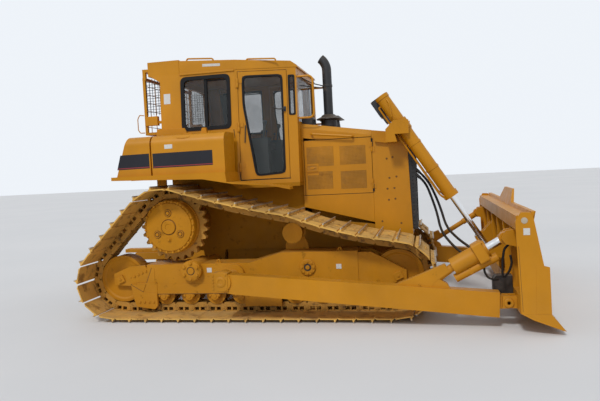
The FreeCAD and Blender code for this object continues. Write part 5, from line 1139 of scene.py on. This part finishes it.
class DOZER_OT_engine_doors(Operator):
    """Build the mesh fields and latches of the engine doors"""
    bl_idname = "dozer.engine_doors"
    bl_label = "Engine door mesh"

    def execute(self, context):
        build_mesh_fields(context.scene.dozer_sizes.wire_pitch)
        return DONE


class DOZER_OT_windows(Operator):
    """Build seals, mullions, handles and painted gap shade of the cab"""
    bl_idname = "dozer.windows"
    bl_label = "Window trim"

    def execute(self, context):
        build_window_trim(context.scene.dozer_sizes.seal_width)
        return DONE


class DOZER_OT_roof(Operator):
    """Build the roof rails and the guard's side mesh"""
    bl_idname = "dozer.roof"
    bl_label = "Roof trim"

    def execute(self, context):
        build_roof_trim()
        return DONE


class DOZER_OT_tanks(Operator):
    """Build the tanks' stripes and fittings and the step's tread"""
    bl_idname = "dozer.tanks"
    bl_label = "Tank trim"

    def execute(self, context):
        build_tank_trim()
        build_small_plates()
        return DONE


class DOZER_OT_guard(Operator):
    """Build bolts, painted gap shade and studs of the radiator guard and hood"""
    bl_idname = "dozer.guard"
    bl_label = "Radiator guard trim"

    def execute(self, context):
        build_guard_trim()
        build_stack_trim()
        return DONE


class DOZER_OT_cylinders(Operator):
    """Build pipes, glands and lamps of the lift cylinders"""
    bl_idname = "dozer.cylinders"
    bl_label = "Cylinder trim"

    def execute(self, context):
        build_lift_trim()
        build_blade_trim()
        return DONE


class DOZER_OT_hoses(Operator):
    """Hang the two tilt hoses"""
    bl_idname = "dozer.hoses"
    bl_label = "Tilt hoses"

    def execute(self, context):
        build_hoses()
        return DONE


class DOZER_OT_seat(Operator):
    """Build the seat's cushions and the cab's levers"""
    bl_idname = "dozer.seat"
    bl_label = "Seat and levers"

    def execute(self, context):
        build_seat()
        return DONE


class DOZER_OT_stage(Operator):
    """Set up the pale floor, the soft light and the camera"""
    bl_idname = "dozer.stage"
    bl_label = "Stage and camera"

    def execute(self, context):
        scene = context.scene
        scene.view_settings.view_transform = "Standard"
        n = Nodes("pale_floor")
        tone = n.mix(n.span(n.noise(0.25), 0.3, 0.7), (0.66, 0.665, 0.67), (0.7, 0.7, 0.7))
        material = n.dress({"Base Color": tone, "Roughness": 0.9, "Specular IOR Level": 0.1})
        mesh = bpy.data.meshes.new("floor")
        reach = 90
        mesh.from_pydata([(-reach, -reach, 0), (reach, -reach, 0), (reach, reach, 0), (-reach, reach, 0)], [],
                         [(0, 1, 2, 3)])
        mesh.materials.append(material)
        floor = bpy.data.objects.new("floor", mesh)
        scene.collection.objects.link(floor)
        world = bpy.data.worlds.new("studio")
        world.use_nodes = True
        nodes, links = world.node_tree.nodes, world.node_tree.links
        back, seen = nodes["Background"], nodes.new("ShaderNodeBackground")
        for node, colour, strength in ((back, (0.92, 0.95, 1, 1), 0.62), (seen, (0.86, 0.9, 0.95, 1), 1)):
            node.inputs["Color"].default_value, node.inputs["Strength"].default_value = colour, strength
        ray, mix = nodes.new("ShaderNodeLightPath"), nodes.new("ShaderNodeMixShader")
        share = ray.outputs["Is Camera Ray"]
        for kind in ("Is Glossy Ray", "Is Transmission Ray"):
            add = nodes.new("ShaderNodeMath")
            add.operation, add.use_clamp = "ADD", True
            links.new(share, add.inputs[0])
            links.new(ray.outputs[kind], add.inputs[1])
            share = add.outputs["Value"]
        links.new(share, mix.inputs["Fac"])
        links.new(back.outputs["Background"], mix.inputs[1])
        links.new(seen.outputs["Background"], mix.inputs[2])
        links.new(mix.outputs["Shader"], nodes["World Output"].inputs["Surface"])
        scene.world = world
        sun = bpy.data.lights.new("high_sun", "SUN")
        sun.energy, sun.angle = 1.55, math.radians(9)
        lamp = bpy.data.objects.new("high_sun", sun)
        lamp.location = 0, 0, 20
        lamp.rotation_euler = math.radians(42), math.radians(14), math.radians(-28)
        scene.collection.objects.link(lamp)
        data = bpy.data.cameras.new("view")
        data.lens, data.sensor_width, data.clip_end = 36.42, 36, 500
        camera = bpy.data.objects.new("view", data)
        right = Vector((0.97788895, 0.20284548, -0.05086164))
        up = Vector((0.04008953, 0.05686732, 0.99757653))
        ahead = Vector((-0.20524625, 0.97755809, -0.04747795))
        turn = Matrix((right, up, -ahead)).transposed().to_4x4()
        camera.matrix_world = Matrix.Translation(Vector((1.5105, -8.006, 1.671))) @ turn
        scene.collection.objects.link(camera)
        scene.camera = camera
        return DONE


STEPS = (DOZER_OT_stage, DOZER_OT_finishes, DOZER_OT_hoses, DOZER_OT_edges, DOZER_OT_tracks, DOZER_OT_hubs,
         DOZER_OT_frame_trim, DOZER_OT_engine_doors, DOZER_OT_windows, DOZER_OT_roof, DOZER_OT_tanks, DOZER_OT_guard,
         DOZER_OT_cylinders, DOZER_OT_seat)


class DOZER_PT_panel(Panel):
    """Sidebar panel that lists the bulldozer's pieces"""
    bl_idname = "DOZER_PT_panel"
    bl_label = "Bulldozer"
    bl_space_type = "VIEW_3D"
    bl_region_type = "UI"
    bl_category = "Bulldozer"

    def draw(self, context):
        layout = self.layout
        for settings, title in ((context.scene.dozer_sizes, "Sizes"), (context.scene.dozer_colours, "Colours")):
            box = layout.box()
            box.label(text=title)
            for key in settings.__annotations__:
                box.prop(settings, key)
        column = layout.column(align=True)
        for step in STEPS:
            column.operator(step.bl_idname)


CLASSES = (DozerColours, DozerSizes) + STEPS + (DOZER_PT_panel,)


def register():
    for cls in CLASSES:
        bpy.utils.register_class(cls)
    bpy.types.Scene.dozer_colours = PointerProperty(type=DozerColours)
    bpy.types.Scene.dozer_sizes = PointerProperty(type=DozerSizes)


def unregister():
    del bpy.types.Scene.dozer_sizes
    del bpy.types.Scene.dozer_colours
    for cls in reversed(CLASSES):
        bpy.utils.unregister_class(cls)


def main():
    register()
    for step in STEPS:
        group, name = step.bl_idname.split(".")
        getattr(getattr(bpy.ops, group), name)()


if __name__ == "__main__":
    main()
